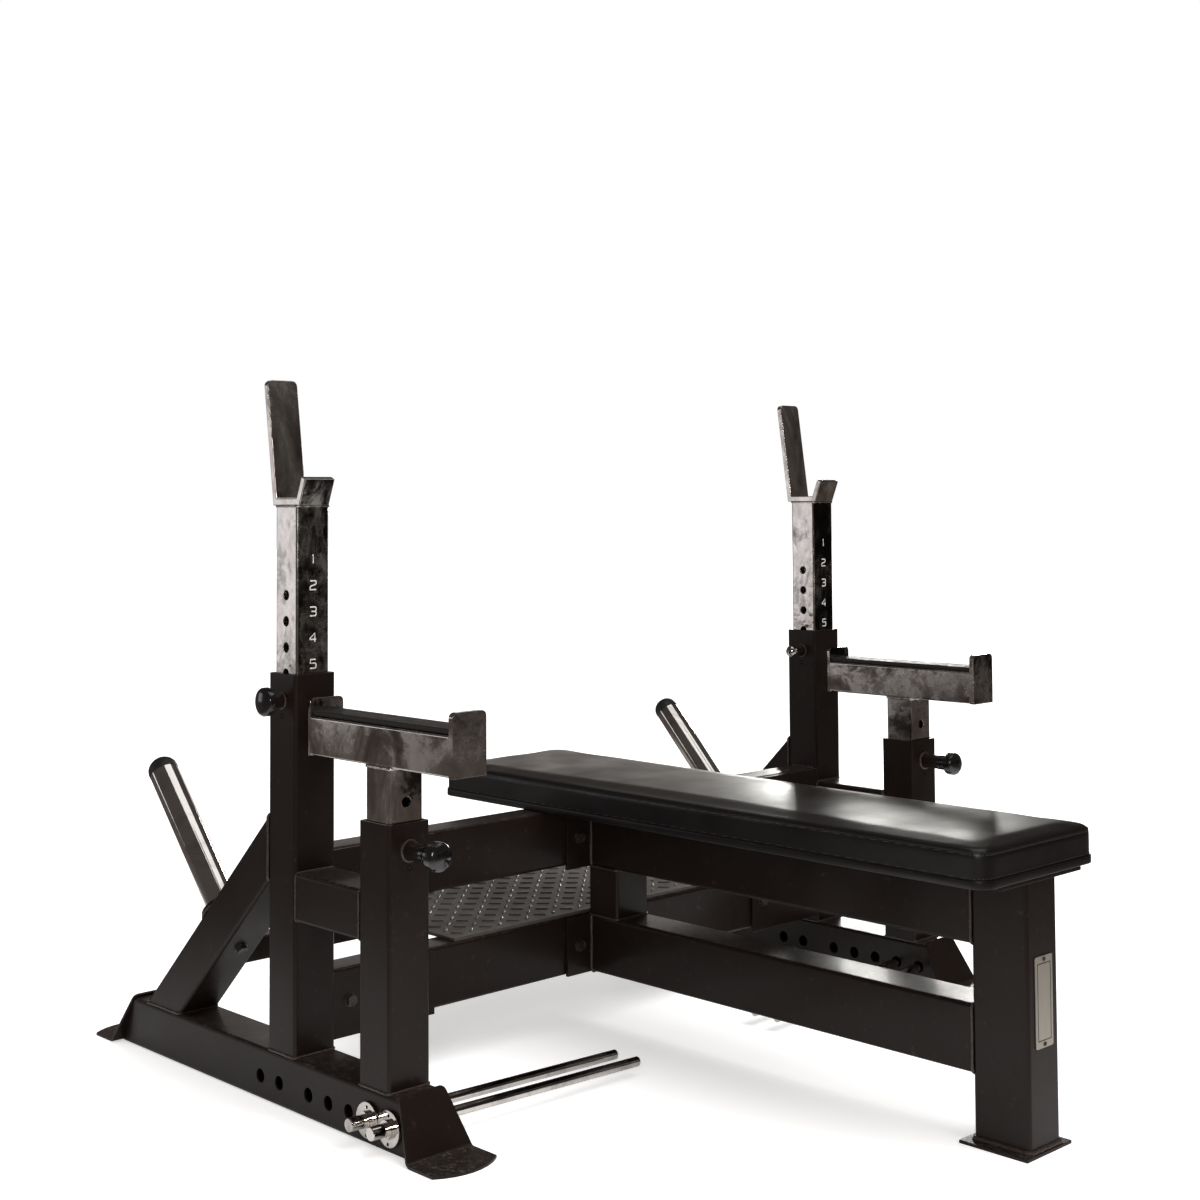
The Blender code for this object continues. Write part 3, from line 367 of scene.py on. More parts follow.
# finished copies of the frame's metalwork
def finishedCopy(node, material, bevel=0.0007, segments=2):
    # one merged copy, its sharp edges eased so that they catch the light
    source = frame["nodes"][node]
    copy = source.copy()
    copy.data = source.data.copy()
    bpy.context.scene.collection.objects.link(copy)
    copy.parent = None
    copy.hide_render = False
    copy.data.materials.clear()
    copy.data.materials.append(material)
    pick(copy)
    bpy.ops.object.mode_set(mode="EDIT")
    bpy.ops.mesh.select_all(action="SELECT")
    bpy.ops.mesh.remove_doubles(threshold=0.00002)
    bpy.ops.mesh.dissolve_limited(angle_limit=math.radians(0.6))
    bpy.ops.object.mode_set(mode="OBJECT")
    if bevel:
        easing = copy.modifiers.new("easing", "BEVEL")
        easing.width = bevel
        easing.segments = segments
        easing.limit_method = "ANGLE"
        easing.angle_limit = math.radians(42)
        bpy.ops.object.modifier_apply(modifier=easing.name)
    smoothSides(copy, 38)
    even = copy.modifiers.new("even", "WEIGHTED_NORMAL")
    even.keep_sharp = True
    bpy.ops.object.modifier_apply(modifier=even.name)
    copy.name = node + "_finish"
    copy.data.name = copy.name
    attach(copy, bodyOf[node])
    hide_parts(node)
    return copy


finishes = {
    "powder_coat": (steel, 0.0008), "chrome": (chrome, 0.0014), "rubber": (rubber, 0.0008),
    "liner_plastic": (nylon, 0.0002), "tread_plate": (tread, 0.0008), "brushed_metal": (stainless, 0.0003),
}
for node, slot in slotOf.items():
    if node == "pad":
        continue
    material, bevel = finishes[slot]
    turned = node.endswith(("_pin", "_peg", "_horn", "_sleeve", "_horn_cap", "horn_flange"))
    piece = finishedCopy(node, material, 0.0004 if turned else bevel, 3 if slot == "chrome" else 2)
    if node.endswith(("_peg", "_horn")):
        piece.data.materials[0] = rodChrome
    if node.endswith("_pin"):
        # the knob and its neck are black, the rod in the tube is chrome
        piece.data.materials[0] = rodChrome
        piece.data.materials.append(knobBlack)
        axis = 1 if "column" in node else 0
        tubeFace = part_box(node.replace("upright_pin", "upright").replace("column_pin", "spotter_column"))[0][axis]
        for face in piece.data.polygons:
            outside = face.center[axis] < tubeFace - 0.002 and node != "right_upright_pin"
            face.material_index = 1 if outside else 0
print("metalwork finished")


# welds
def roundedLoop(width, height, corner, step, corners=4):
    # a flat rounded rectangle about the origin, its long edges cut into short ones
    bpy.ops.mesh.primitive_plane_add(size=1.0, location=(0, 0, 0))
    loop = bpy.context.object
    loop.scale = (width, height, 1)
    bpy.ops.object.transform_apply(location=False, rotation=False, scale=True)
    bpy.ops.object.mode_set(mode="EDIT")
    bpy.ops.mesh.select_all(action="SELECT")
    if corner:
        bpy.ops.mesh.bevel(offset=corner, segments=corners, affect="VERTICES")
    bpy.ops.mesh.select_all(action="SELECT")
    bpy.ops.mesh.delete(type="ONLY_FACE")
    bpy.ops.object.mode_set(mode="OBJECT")
    for length in (width, height):
        selectEdges(loop, lambda a, b: abs((a - b).length - (length - 2 * corner)) < 0.0005)
        bpy.ops.object.mode_set(mode="EDIT")
        bpy.ops.mesh.subdivide(number_cuts=max(1, int(length / step)))
        bpy.ops.object.mode_set(mode="OBJECT")
        if abs(width - height) < 0.0005:
            break
    return loop


def tubeAlong(loop, radius, sides=2):
    # turns the loop's edges into a round bead
    pick(loop)
    bpy.ops.object.convert(target="CURVE")
    loop.data.bevel_depth = radius
    loop.data.bevel_resolution = sides
    loop.data.use_fill_caps = True
    bpy.ops.object.convert(target="MESH")
    return bpy.context.object


ripples = bpy.data.textures.new("weldRipples", "CLOUDS")
ripples.noise_scale = 0.006
turns = {"x": Matrix.Rotation(math.pi / 2, 4, "Y") @ Matrix.Rotation(math.pi / 2, 4, "Z"),
         "y": Matrix.Rotation(math.pi / 2, 4, "X"), "z": Matrix.Identity(4)}


def weldLoop(name, centre, width, height, axis, body, material=bead, radius=0.0024, corner=0.006, tilt=0.0):
    # a rippled bead round a tube's end, on a plane across the axis
    loop = tubeAlong(roundedLoop(width, height, corner, 0.004), radius)
    ripple = loop.modifiers.new("ripple", "DISPLACE")
    ripple.texture = ripples
    ripple.texture_coords = "LOCAL"
    ripple.strength = radius * 0.7
    ripple.mid_level = 0.5
    applyAll(loop)
    smoothSides(loop, 80)
    loop.matrix_world = Matrix.Translation(centre) @ Matrix.Rotation(tilt, 4, "X") @ turns[axis]
    return settle(loop, name, material, body)


tubeSize = 0.075
postSize = 0.060
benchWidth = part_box("front_leg")[1][0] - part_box("front_leg")[0][0]
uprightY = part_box("left_link")[1][1] + 0.0003
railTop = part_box("left_base_rail")[1][2]
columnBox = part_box("left_spotter_column")
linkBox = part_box("left_link")
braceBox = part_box("left_brace")
columnMid = (columnBox[0][1] + columnBox[1][1]) / 2
braceTop = 0.445
braceAngle = math.radians(44)
braceCut = tubeSize / math.cos(braceAngle)
braceRun = tubeSize / math.sin(braceAngle)

for side, sign in sides.items():
    x = (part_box(side + "_link")[0][0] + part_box(side + "_link")[1][0]) / 2
    inner = x - sign * tubeSize / 2
    weldLoop(side + "_upright_foot_weld", (x, uprightY + tubeSize / 2, railTop + 0.001),
             tubeSize, tubeSize, "z", "frame")
    weldLoop(side + "_column_foot_weld", (x, columnMid, railTop + 0.001), tubeSize, tubeSize, "z", "frame")
    weldLoop(side + "_brace_foot_weld", (x, braceBox[1][1] - braceRun / 2, railTop + 0.001),
             tubeSize, braceRun, "z", "frame")
    weldLoop(side + "_brace_head_weld", (x, uprightY + tubeSize + 0.001, braceTop - braceCut / 2),
             tubeSize, braceCut, "y", "frame")
    linkMid = (linkBox[0][2] + linkBox[1][2]) / 2
    weldLoop(side + "_link_rear_weld", (x, uprightY - 0.0005, linkMid), tubeSize - 0.001, tubeSize, "y", "frame",
             radius=0.0018)
    weldLoop(side + "_link_front_weld", (x, linkBox[0][1] + 0.0005, linkMid), tubeSize - 0.001, tubeSize, "y",
             "frame", radius=0.0018)
    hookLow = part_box(side + "_rack_hook")[0][2]
    weldLoop(side + "_hook_weld", (x, uprightY + tubeSize / 2, hookLow - 0.001), postSize, postSize, "z",
             side + "_rack", chrome, 0.0022, 0.004)
    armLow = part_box(side + "_spotter_arm")[0][2]
    weldLoop(side + "_arm_weld", (x, columnMid, armLow - 0.0005), postSize, postSize, "z", side + "_arm", chrome,
             0.0026, 0.004)
    for level in ("lower", "upper"):
        low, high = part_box(level + "_cross_beam")
        middle = ((low[1] + high[1]) / 2, (low[2] + high[2]) / 2)
        weldLoop(f"{side}_{level}_cross_weld", (inner - sign * 0.0006, *middle), high[1] - low[1], high[2] - low[2],
                 "x", "frame", radius=0.0016)

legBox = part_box("front_leg")
for level in ("lower", "upper"):
    low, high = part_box(level + "_beam")
    middle = (low[2] + high[2]) / 2
    height = high[2] - low[2]
    weldLoop(level + "_beam_leg_weld", (0, legBox[1][1] + 0.0006, middle), benchWidth, height, "y", "frame",
             radius=0.0022)
    weldLoop(level + "_beam_flange_weld", (0, high[1] - 0.0006, middle), benchWidth, height, "y", "frame",
             radius=0.003)
weldLoop("leg_foot_weld", (0, (legBox[0][1] + legBox[1][1]) / 2, 0.0062), benchWidth + 0.001,
         legBox[1][1] - legBox[0][1] + 0.001, "z", "frame", radius=0.0042)
low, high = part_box("rear_post")
for name, z in (("lower", low[2]), ("upper", high[2])):
    weldLoop(f"rear_post_{name}_weld", (0, (low[1] + high[1]) / 2, z), benchWidth, high[1] - low[1], "z", "frame",
             radius=0.002)
print("welds laid")


# rings, bolts and screws
def weldRing(name, centre, direction, major, minor, body):
    bpy.ops.mesh.primitive_torus_add(major_radius=major, minor_radius=minor, major_segments=56, minor_segments=10)
    ring = bpy.context.object
    ripple = ring.modifiers.new("ripple", "DISPLACE")
    ripple.texture = ripples
    ripple.texture_coords = "LOCAL"
    ripple.strength = minor * 0.7
    applyAll(ring)
    smoothSides(ring, 80)
    turn = Vector((0, 0, 1)).rotation_difference(Vector(direction)).to_matrix().to_4x4()
    ring.matrix_world = Matrix.Translation(centre) @ turn
    return settle(ring, name, bead, body)


def hexBolt(size=None):
    # a forged hexagon head on a plain washer, its axis along +Z
    size = size or {"acrossFlats": 0.0165, "head": 0.0064, "washer": 0.0112, "washerHeight": 0.0016}
    bpy.ops.mesh.primitive_cylinder_add(vertices=32, radius=size["washer"], depth=size["washerHeight"],
                                        location=(0, 0, size["washerHeight"] / 2))
    washer = bpy.context.object
    bpy.ops.mesh.primitive_cylinder_add(vertices=6, radius=size["acrossFlats"] / math.sqrt(3), depth=size["head"],
                                        location=(0, 0, size["washerHeight"] + size["head"] / 2))
    head = bpy.context.object
    bpy.ops.object.mode_set(mode="EDIT")
    bpy.ops.mesh.select_all(action="DESELECT")
    bpy.ops.object.mode_set(mode="OBJECT")
    for face in head.data.polygons:
        face.select = face.normal.z > 0.9
    bpy.ops.object.mode_set(mode="EDIT")
    bpy.ops.mesh.inset(thickness=0.0016, depth=0.0)
    bpy.ops.mesh.inset(thickness=0.0004, depth=-0.0003)
    bpy.ops.object.mode_set(mode="OBJECT")
    pick(head, washer)
    bpy.ops.object.join()
    easing = washer.modifiers.new("easing", "BEVEL")
    easing.width = 0.0005
    easing.segments = 2
    applyAll(washer)
    smoothSides(washer, 30)
    return washer


def placedCopy(source, name, centre, direction, body, spin=0.0):
    copy = source.copy()
    copy.data = source.data.copy()
    bpy.context.scene.collection.objects.link(copy)
    turn = Vector((0, 0, 1)).rotation_difference(Vector(direction)).to_matrix().to_4x4()
    copy.matrix_world = Matrix.Translation(centre) @ turn @ Matrix.Rotation(spin, 4, "Z")
    return settle(copy, name, bolt, body)


boltModel = hexBolt()
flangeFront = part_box("lower_flange")[0][1]
boltX = {"flange": 0.066, "tabOuter": 0.557, "tabInner": 0.4195}
for level, flangeZ in (("lower", 0.149), ("upper", 0.338)):
    low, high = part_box(level + "_cross_beam")
    tabZ = (low[2] + high[2]) / 2
    for side, sign in sides.items():
        spin = 0.4 * sign + (0.3 if level == "lower" else 0.0)
        placedCopy(boltModel, f"{side}_{level}_flange_bolt", (sign * boltX["flange"], flangeFront, flangeZ),
                   (0, -1, 0), "frame", spin)
        placedCopy(boltModel, f"{side}_{level}_tab_outer_bolt", (sign * boltX["tabOuter"], flangeFront, tabZ),
                   (0, -1, 0), "frame", spin + 0.2)
        placedCopy(boltModel, f"{side}_{level}_tab_inner_bolt", (sign * boltX["tabInner"], flangeFront, tabZ),
                   (0, -1, 0), "frame", spin - 0.3)

faceDown = Vector((0, -math.sin(braceAngle), -math.cos(braceAngle)))
faceUp = -faceDown
hornAlong = 0.265
alongBrace = Vector((0, math.cos(braceAngle), -math.sin(braceAngle)))
for side, sign in sides.items():
    x = (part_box(side + "_link")[0][0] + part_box(side + "_link")[1][0]) / 2
    seat = Vector((x, uprightY + tubeSize, braceTop)) + hornAlong * alongBrace
    placedCopy(boltModel, side + "_horn_bolt", seat + faceDown * tubeSize, faceDown, "frame", 0.5)
    weldRing(side + "_horn_weld", seat + faceUp * 0.001, faceUp, 0.0365, 0.002, "frame")
    pinZ = (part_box(side + "_column_pin")[0][2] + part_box(side + "_column_pin")[1][2]) / 2
    weldRing(side + "_column_pin_weld", (x, columnBox[0][1] - 0.0006, pinZ), (0, -1, 0), 0.0148, 0.0026, "frame")
    rackZ = (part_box(side + "_upright_pin")[0][2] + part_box(side + "_upright_pin")[1][2]) / 2
    weldRing(side + "_rack_pin_weld", (x - tubeSize / 2 - 0.0006, uprightY + tubeSize / 2, rackZ), (-1, 0, 0),
             0.0118, 0.0018, "frame")


def setScrew():
    # a socket set screw: a short plug with a six-sided socket
    bpy.ops.mesh.primitive_cylinder_add(vertices=24, radius=0.0036, depth=0.003, location=(0, 0, -0.0021))
    plug = bpy.context.object
    for face in plug.data.polygons:
        face.select = face.normal.z > 0.9
    bpy.ops.object.mode_set(mode="EDIT")
    bpy.ops.mesh.inset(thickness=0.0016, depth=0.0)
    bpy.ops.mesh.inset(thickness=0.0003, depth=-0.0016)
    bpy.ops.object.mode_set(mode="OBJECT")
    smoothSides(plug, 30)
    return plug


setScrews = {"rackPin": 0.6255, "armPin": 0.4245, "belowPin": 0.0245}  # the screws sit below the pins
screwModel = setScrew()
for side, sign in sides.items():
    x = (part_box(side + "_link")[0][0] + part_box(side + "_link")[1][0]) / 2
    placedCopy(screwModel, side + "_rack_set_screw",
               (x - tubeSize / 2, uprightY + tubeSize / 2, setScrews["rackPin"] - setScrews["belowPin"]),
               (-1, 0, 0), "frame")
    placedCopy(screwModel, side + "_arm_set_screw",
               (x, columnBox[0][1], setScrews["armPin"] - setScrews["belowPin"]), (0, -1, 0), "frame")


def panScrew():
    # a small domed screw with a cross slot, for the name plate
    bpy.ops.mesh.primitive_uv_sphere_add(segments=20, ring_count=10, radius=0.0032)
    dome = bpy.context.object
    bpy.ops.object.mode_set(mode="EDIT")
    bpy.ops.mesh.select_all(action="SELECT")
    bpy.ops.mesh.bisect(plane_co=(0, 0, 0.0004), plane_no=(0, 0, 1), use_fill=True, clear_inner=True)
    bpy.ops.mesh.select_all(action="SELECT")
    bpy.ops.transform.resize(value=(1, 1, 0.45))
    bpy.ops.object.mode_set(mode="OBJECT")
    smoothSides(dome, 40)
    return dome


domeModel = panScrew()
plateLow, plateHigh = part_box("name_plate")
for name, z in (("lower", plateLow[2] + 0.005), ("upper", plateHigh[2] - 0.005)):
    placedCopy(domeModel, f"name_plate_{name}_screw", (0, plateLow[1] + 0.0004, z), (0, -1, 0), "frame")
for model in (boltModel, screwModel, domeModel):
    bpy.data.objects.remove(model, do_unlink=True)
print("bolts and screws placed")


# name plate's border and the posts' numbers
def plateBorder():
    # a plain printed line inside the plate's edge
    size = {"inset": 0.010, "line": 0.0014, "sideInset": 0.005}
    width = plateHigh[0] - plateLow[0] - 2 * size["sideInset"]
    height = plateHigh[2] - plateLow[2] - 2 * size["inset"]
    bpy.ops.mesh.primitive_plane_add(size=1.0)
    line = bpy.context.object
    line.scale = (width, height, 1)
    bpy.ops.object.transform_apply(location=False, rotation=False, scale=True)
    bpy.ops.object.mode_set(mode="EDIT")
    bpy.ops.mesh.select_all(action="SELECT")
    bpy.ops.mesh.inset(thickness=size["line"], depth=0.0)
    bpy.ops.mesh.delete(type="FACE")
    bpy.ops.mesh.select_all(action="SELECT")
    bpy.ops.mesh.extrude_region_move(TRANSFORM_OT_translate={"value": (0, 0, 0.00012)})
    bpy.ops.object.mode_set(mode="OBJECT")
    line.matrix_world = Matrix.Translation((0, plateLow[1],
                                            (plateLow[2] + plateHigh[2]) / 2)) @ Matrix.Rotation(math.pi / 2, 4, "X")
    return settle(line, "name_plate_border", borderInk, "frame")


plateBorder()

numbers = {"width": 0.0112, "height": 0.0138, "stroke": 0.00115, "first": 0.8457, "pitch": 0.041}
strokes = {
    1: [[(0.38, 0.88), (0.52, 1.0), (0.52, 0.0)]],
    2: [[(0.0, 1.0), (0.85, 1.0), (1.0, 0.88), (1.0, 0.68), (0.85, 0.56), (0.15, 0.42), (0.0, 0.28), (0.0, 0.0),
         (1.0, 0.0)]],
    3: [[(0.0, 1.0), (0.85, 1.0), (1.0, 0.88), (1.0, 0.64), (0.85, 0.5), (0.25, 0.5)],
        [(0.85, 0.5), (1.0, 0.36), (1.0, 0.12), (0.85, 0.0), (0.0, 0.0)]],
    4: [[(0.8, 0.0), (0.8, 1.0), (0.0, 0.42), (0.0, 0.3), (1.0, 0.3)]],
    5: [[(0.95, 1.0), (0.1, 1.0), (0.06, 0.58), (0.85, 0.58), (1.0, 0.45), (1.0, 0.14), (0.85, 0.0), (0.0, 0.0)]],
}


def printedNumber(side, count, low, high):
    # one stencilled number, a flat film of ink in plain strokes
    data = bpy.data.curves.new("number", "CURVE")
    data.dimensions = "3D"
    data.bevel_depth = numbers["stroke"]
    data.bevel_resolution = 2
    data.use_fill_caps = True
    for path in strokes[count]:
        spline = data.splines.new("POLY")
        spline.points.add(len(path) - 1)
        for point, (across, upward) in zip(spline.points, path):
            point.co = ((across - 0.5) * numbers["width"], 0, (upward - 0.5) * numbers["height"], 1)
    digit = bpy.data.objects.new("number", data)
    bpy.context.scene.collection.objects.link(digit)
    pick(digit)
    bpy.ops.object.convert(target="MESH")
    digit = bpy.context.object
    digit.scale = (1, 0.12, 1)
    digit.location = ((low[0] + high[0]) / 2, low[1], numbers["first"] - numbers["pitch"] * (count - 1))
    return settle(digit, f"{side}_number_{count}", numberInk, side + "_rack")


for side in sides:
    for count in strokes:
        printedNumber(side, count, *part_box(side + "_rack_post"))
print("numbers printed")


# tread plate's raised bars
def treadBars():
    size = {"pitch": 0.031, "length": 0.025, "width": 0.0066, "height": 0.0016, "margin": 0.012}
    low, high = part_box("platform")
    bars = []
    for column in range(2):
        for row in range(2):
            bpy.ops.mesh.primitive_circle_add(vertices=10, radius=0.5, fill_type="NGON")
            bar = bpy.context.object
            bpy.ops.object.mode_set(mode="EDIT")
            bpy.ops.mesh.select_all(action="SELECT")
            bpy.ops.transform.resize(value=(size["length"], size["width"], 1))
            bpy.ops.mesh.extrude_region_move(TRANSFORM_OT_translate={"value": (0, 0, size["height"] * 0.7)})
            bpy.ops.transform.resize(value=(0.92, 0.7, 1))
            bpy.ops.mesh.extrude_region_move(TRANSFORM_OT_translate={"value": (0, 0, size["height"] * 0.3)})
            bpy.ops.transform.resize(value=(0.85, 0.5, 1))
            bpy.ops.object.mode_set(mode="OBJECT")
            angle = math.pi / 4 if (column + row) % 2 else -math.pi / 4
            bar.rotation_euler = (0, 0, angle)
            bar.location = (low[0] + size["margin"] + size["pitch"] * (column + 0.5),
                            low[1] + size["margin"] + size["pitch"] * (row + 0.5), high[2] - 0.0001)
            bars.append(bar)
    pick(*bars)
    bpy.ops.object.join()
    cell = bpy.context.object
    pick(cell)
    bpy.ops.object.transform_apply(location=True, rotation=True, scale=True)
    pitch = 2 * size["pitch"]
    for axis, length in ((0, high[0] - low[0]), (1, high[1] - low[1])):
        repeat = cell.modifiers.new("repeat", "ARRAY")
        repeat.use_relative_offset = False
        repeat.use_constant_offset = True
        repeat.constant_offset_displace = [pitch if i == axis else 0.0 for i in range(3)]
        repeat.count = int((length - 2 * size["margin"] + 0.001) / pitch)
    applyAll(cell)
    smoothSides(cell, 30)
    return settle(cell, "tread_bars", tread, "frame")


treadBars()
print("tread plate rolled")


# the pad
pad = {"inset": 0.0002, "cornerRadius": 0.028, "edge": 0.003, "voxel": 0.0065, "pressure": 4.0,
       "sideOut": 0.0022, "sideIn": 0.0008, "topCap": 0.004, "moveCap": 0.006, "evenings": 12,
       "crown": 0.0022, "sag": 0.0012}
padLow, padHigh = (Vector(corner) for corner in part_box("pad"))
padMid = (padLow + padHigh) / 2
padSize = padHigh - padLow


def padBlock(inset, crownRoom):
    # a block with round upright corners and an eased top edge, a little smaller than the finished pad
    bpy.ops.mesh.primitive_cube_add(size=1.0, location=(padMid.x, padMid.y, padMid.z - crownRoom / 2))
    block = bpy.context.object
    block.scale = (padSize.x - 2 * inset, padSize.y - 2 * inset, padSize.z - crownRoom)
    bpy.ops.object.transform_apply(location=True, rotation=False, scale=True)
    bpy.context.tool_settings.mesh_select_mode = (False, True, False)
    selectEdges(block, lambda a, b: abs(a.z - b.z) > 0.01)
    bpy.ops.object.mode_set(mode="EDIT")
    bpy.ops.mesh.bevel(offset=pad["cornerRadius"], segments=10, affect="EDGES")
    bpy.ops.object.mode_set(mode="OBJECT")
    top = padHigh.z - crownRoom
    selectEdges(block, lambda a, b: a.z > top - 0.001 and b.z > top - 0.001)
    bpy.ops.object.mode_set(mode="EDIT")
    bpy.ops.mesh.bevel(offset=pad["edge"], segments=5, affect="EDGES")
    bpy.ops.object.mode_set(mode="OBJECT")
    bpy.context.tool_settings.mesh_select_mode = (True, False, False)
    return block


def padCushion():
    block = padBlock(pad["inset"], pad["topCap"])
    mesher = block.modifiers.new("mesher", "REMESH")
    mesher.mode = "VOXEL"
    mesher.voxel_size = pad["voxel"]
    applyAll(block)
    rest = [vert.co.copy() for vert in block.data.vertices]
    held = block.vertex_groups.new(name="held")
    held.add([i for i, co in enumerate(rest) if co.z < padLow.z + 0.014], 1.0, "REPLACE")
    cloth = block.modifiers.new("cloth", "CLOTH")
    cloth.settings.use_pressure = True
    cloth.settings.uniform_pressure_force = pad["pressure"]
    cloth.settings.effector_weights.gravity = 0.0
    cloth.settings.vertex_group_mass = "held"
    cloth.settings.quality = 6
    cloth.point_cache.frame_start = 1
    cloth.point_cache.frame_end = 20
    for number in range(1, 21):
        bpy.context.scene.frame_set(number)
    applyAll(block)
    bpy.context.scene.frame_set(1)
    # the swelling is evened out over each point's neighbours, so that no point stands out
    near = [[] for start in rest]
    for edge in block.data.edges:
        a, b = edge.vertices
        near[a].append(b)
        near[b].append(a)
    moves = [vert.co - start for vert, start in zip(block.data.vertices, rest)]
    moves = [move * min(1.0, pad["moveCap"] / max(move.length, 1e-6)) for move in moves]
    for number in range(pad["evenings"]):
        moves = [sum((moves[i] for i in near[k]), move) / (len(near[k]) + 1) for k, move in enumerate(moves)]
    # the cover may only swell a little over its foam
    for vert, start, move in zip(block.data.vertices, rest, moves):
        outward = Vector((start.x - padMid.x, 0,
                          0)) if abs(start.y - padMid.y) < padSize.y / 2 - 0.02 else Vector((0, start.y - padMid.y,
                                                                                             0))
        outward.normalize()
        side = outward * max(-pad["sideIn"], min(pad["sideOut"], outward.dot(move)))
        lift = max(-0.001, min(pad["topCap"], move.z))
        vert.co = start + side + Vector((0, 0, lift))
    # flat where it rests, crowned along the middle
    half = padSize.x / 2
    for vert in block.data.vertices:
        rise = (vert.co.z - padLow.z) / padSize.z
        across = min(1.0, abs(vert.co.x - padMid.x) / half)
        along = min(1.0, abs(vert.co.y - padMid.y) / (padSize.y / 2))
        crown = (1 - across ** 2) * (1 - along ** 8)
        if rise > 0.6:
            vert.co.z += pad["crown"] * crown - pad["sag"]
    finer = block.modifiers.new("finer", "SUBSURF")
    finer.levels = 1
    finer.render_levels = 1
    applyAll(block)
    pick(block)
    bpy.ops.object.shade_smooth()
    settle(block, "pad_cover", vinyl, "frame")
    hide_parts("pad")
    return block


cushion = padCushion()
print("pad made")


def onCover(loop, height, offset):
    # lays the loop's points on the cover at that height
    loop.location = (padMid.x, padMid.y, height)
    wrap = loop.modifiers.new("wrap", "SHRINKWRAP")
    wrap.target = cushion
    wrap.wrap_method = "NEAREST_SURFACEPOINT"
    wrap.wrap_mode = "ABOVE_SURFACE"
    wrap.offset = offset
    bpy.context.view_layer.update()
    applyAll(loop)


def padLoop(name, out, z, radius, material, sink=0.0):
    # a round cord sewn along the pad's outline at one height
    loop = roundedLoop(padSize.x + 2 * out, padSize.y + 2 * out, pad["cornerRadius"] + out, 0.008, 10)
    onCover(loop, z, sink)
    loop = tubeAlong(loop, radius, 2)
    smoothSides(loop, 80)
    return settle(loop, name, material, "frame")


def padStitches(name, out, z, lift):
    # every second short edge of the outline is kept as one stitch
    loop = roundedLoop(padSize.x + 2 * out, padSize.y + 2 * out, pad["cornerRadius"] + out, 0.0034, 14)
    onCover(loop, z, lift)
    bpy.ops.object.mode_set(mode="EDIT")
    bpy.ops.mesh.select_mode(type="EDGE")
    bpy.ops.mesh.select_all(action="DESELECT")
    bpy.ops.object.mode_set(mode="OBJECT")
    middles = {edge.index: sum((loop.data.vertices[i].co for i in edge.vertices),
                               Vector()) for edge in loop.data.edges}
    order = sorted(loop.data.edges, key=lambda edge: math.atan2(middles[edge.index].y, middles[edge.index].x))
    for number, edge in enumerate(order):
        edge.select = number % 2 == 0
    bpy.ops.object.mode_set(mode="EDIT")
    bpy.ops.mesh.delete(type="EDGE")
    bpy.ops.mesh.select_mode(type="VERT")
    bpy.ops.object.mode_set(mode="OBJECT")
    loop = tubeAlong(loop, 0.00045, 0)
    return settle(loop, name, thread, "frame")


def padHem():
    # the folded band along the bottom of the cover
    loop = roundedLoop(padSize.x, padSize.y, pad["cornerRadius"], 0.02, 10)
    pick(loop)
    bpy.ops.object.mode_set(mode="EDIT")
    bpy.ops.mesh.select_all(action="SELECT")
    bpy.ops.mesh.extrude_region_move(TRANSFORM_OT_translate={"value": (0, 0, 0.0125)})
    bpy.ops.mesh.select_all(action="SELECT")
    bpy.ops.mesh.normals_make_consistent(inside=False)
    bpy.ops.object.mode_set(mode="OBJECT")
    loop.location = (padMid.x, padMid.y, padLow.z + 0.0004)
    wall = loop.modifiers.new("wall", "SOLIDIFY")
    wall.thickness = 0.0026
    wall.offset = 0.0
    easing = loop.modifiers.new("easing", "BEVEL")
    easing.width = 0.0012
    easing.segments = 3
    easing.limit_method = "ANGLE"
    applyAll(loop)
    smoothSides(loop, 40)
    return settle(loop, "pad_hem", vinyl, "frame")


padLoop("pad_piping", 0.0, padHigh.z - 0.0095, 0.0016, vinyl, -0.0004)
padStitches("pad_top_stitches", 0.0, padHigh.z - 0.0135, 0.0002)
padHem()
padStitches("pad_hem_stitches", 0.0, padLow.z + 0.0150, 0.0002)
print("pad sewn")


# floor, light and camera
def studioFloor():
    # white paper under the object; mirrors see its dim surroundings beyond the paper
    look = {"paper": "#f2f1f0", "beyond": "#524b47", "paperRadius": 0.9, "fade": 0.9, "glow": 0.42}
    bpy.ops.mesh.primitive_plane_add(size=60, location=(0, 0, 0))
    floor = bpy.context.object
    floor.name = "studio_floor"
    paint, tree, shader, place = newMaterial("mattePaper", {"Roughness": 0.9, "Specular IOR Level": 0.1})
    reach = addNode(tree, "ShaderNodeVectorMath", {"operation": "LENGTH"}, {0: place})
    fadeEnd = look["paperRadius"] + look["fade"]
    away = addNode(tree, "ShaderNodeMapRange", {"From Min": look["paperRadius"], "From Max": fadeEnd},
                   {"Value": reach.outputs["Value"]})
    rays = addNode(tree, "ShaderNodeLightPath")
    share = addNode(tree, "ShaderNodeMath", {"operation": "MULTIPLY"},
                    {0: rays.outputs["Is Glossy Ray"], 1: away.outputs["Result"]})
    colour = mixColours(tree, look["paper"], look["beyond"], share.outputs[0])
    tree.links.new(colour.outputs[2], shader.inputs["Base Color"])
    # the paper is lit from below too, as on a light table, except in mirrors
    glow = addNode(tree, "ShaderNodeMapRange", {"To Min": look["glow"], "To Max": 0.0},
                   {"Value": rays.outputs["Is Glossy Ray"]})
    shader.inputs["Emission Color"].default_value = linearColour("#ffffff")
    tree.links.new(glow.outputs["Result"], shader.inputs["Emission Strength"])
    floor.data.materials.append(paint)


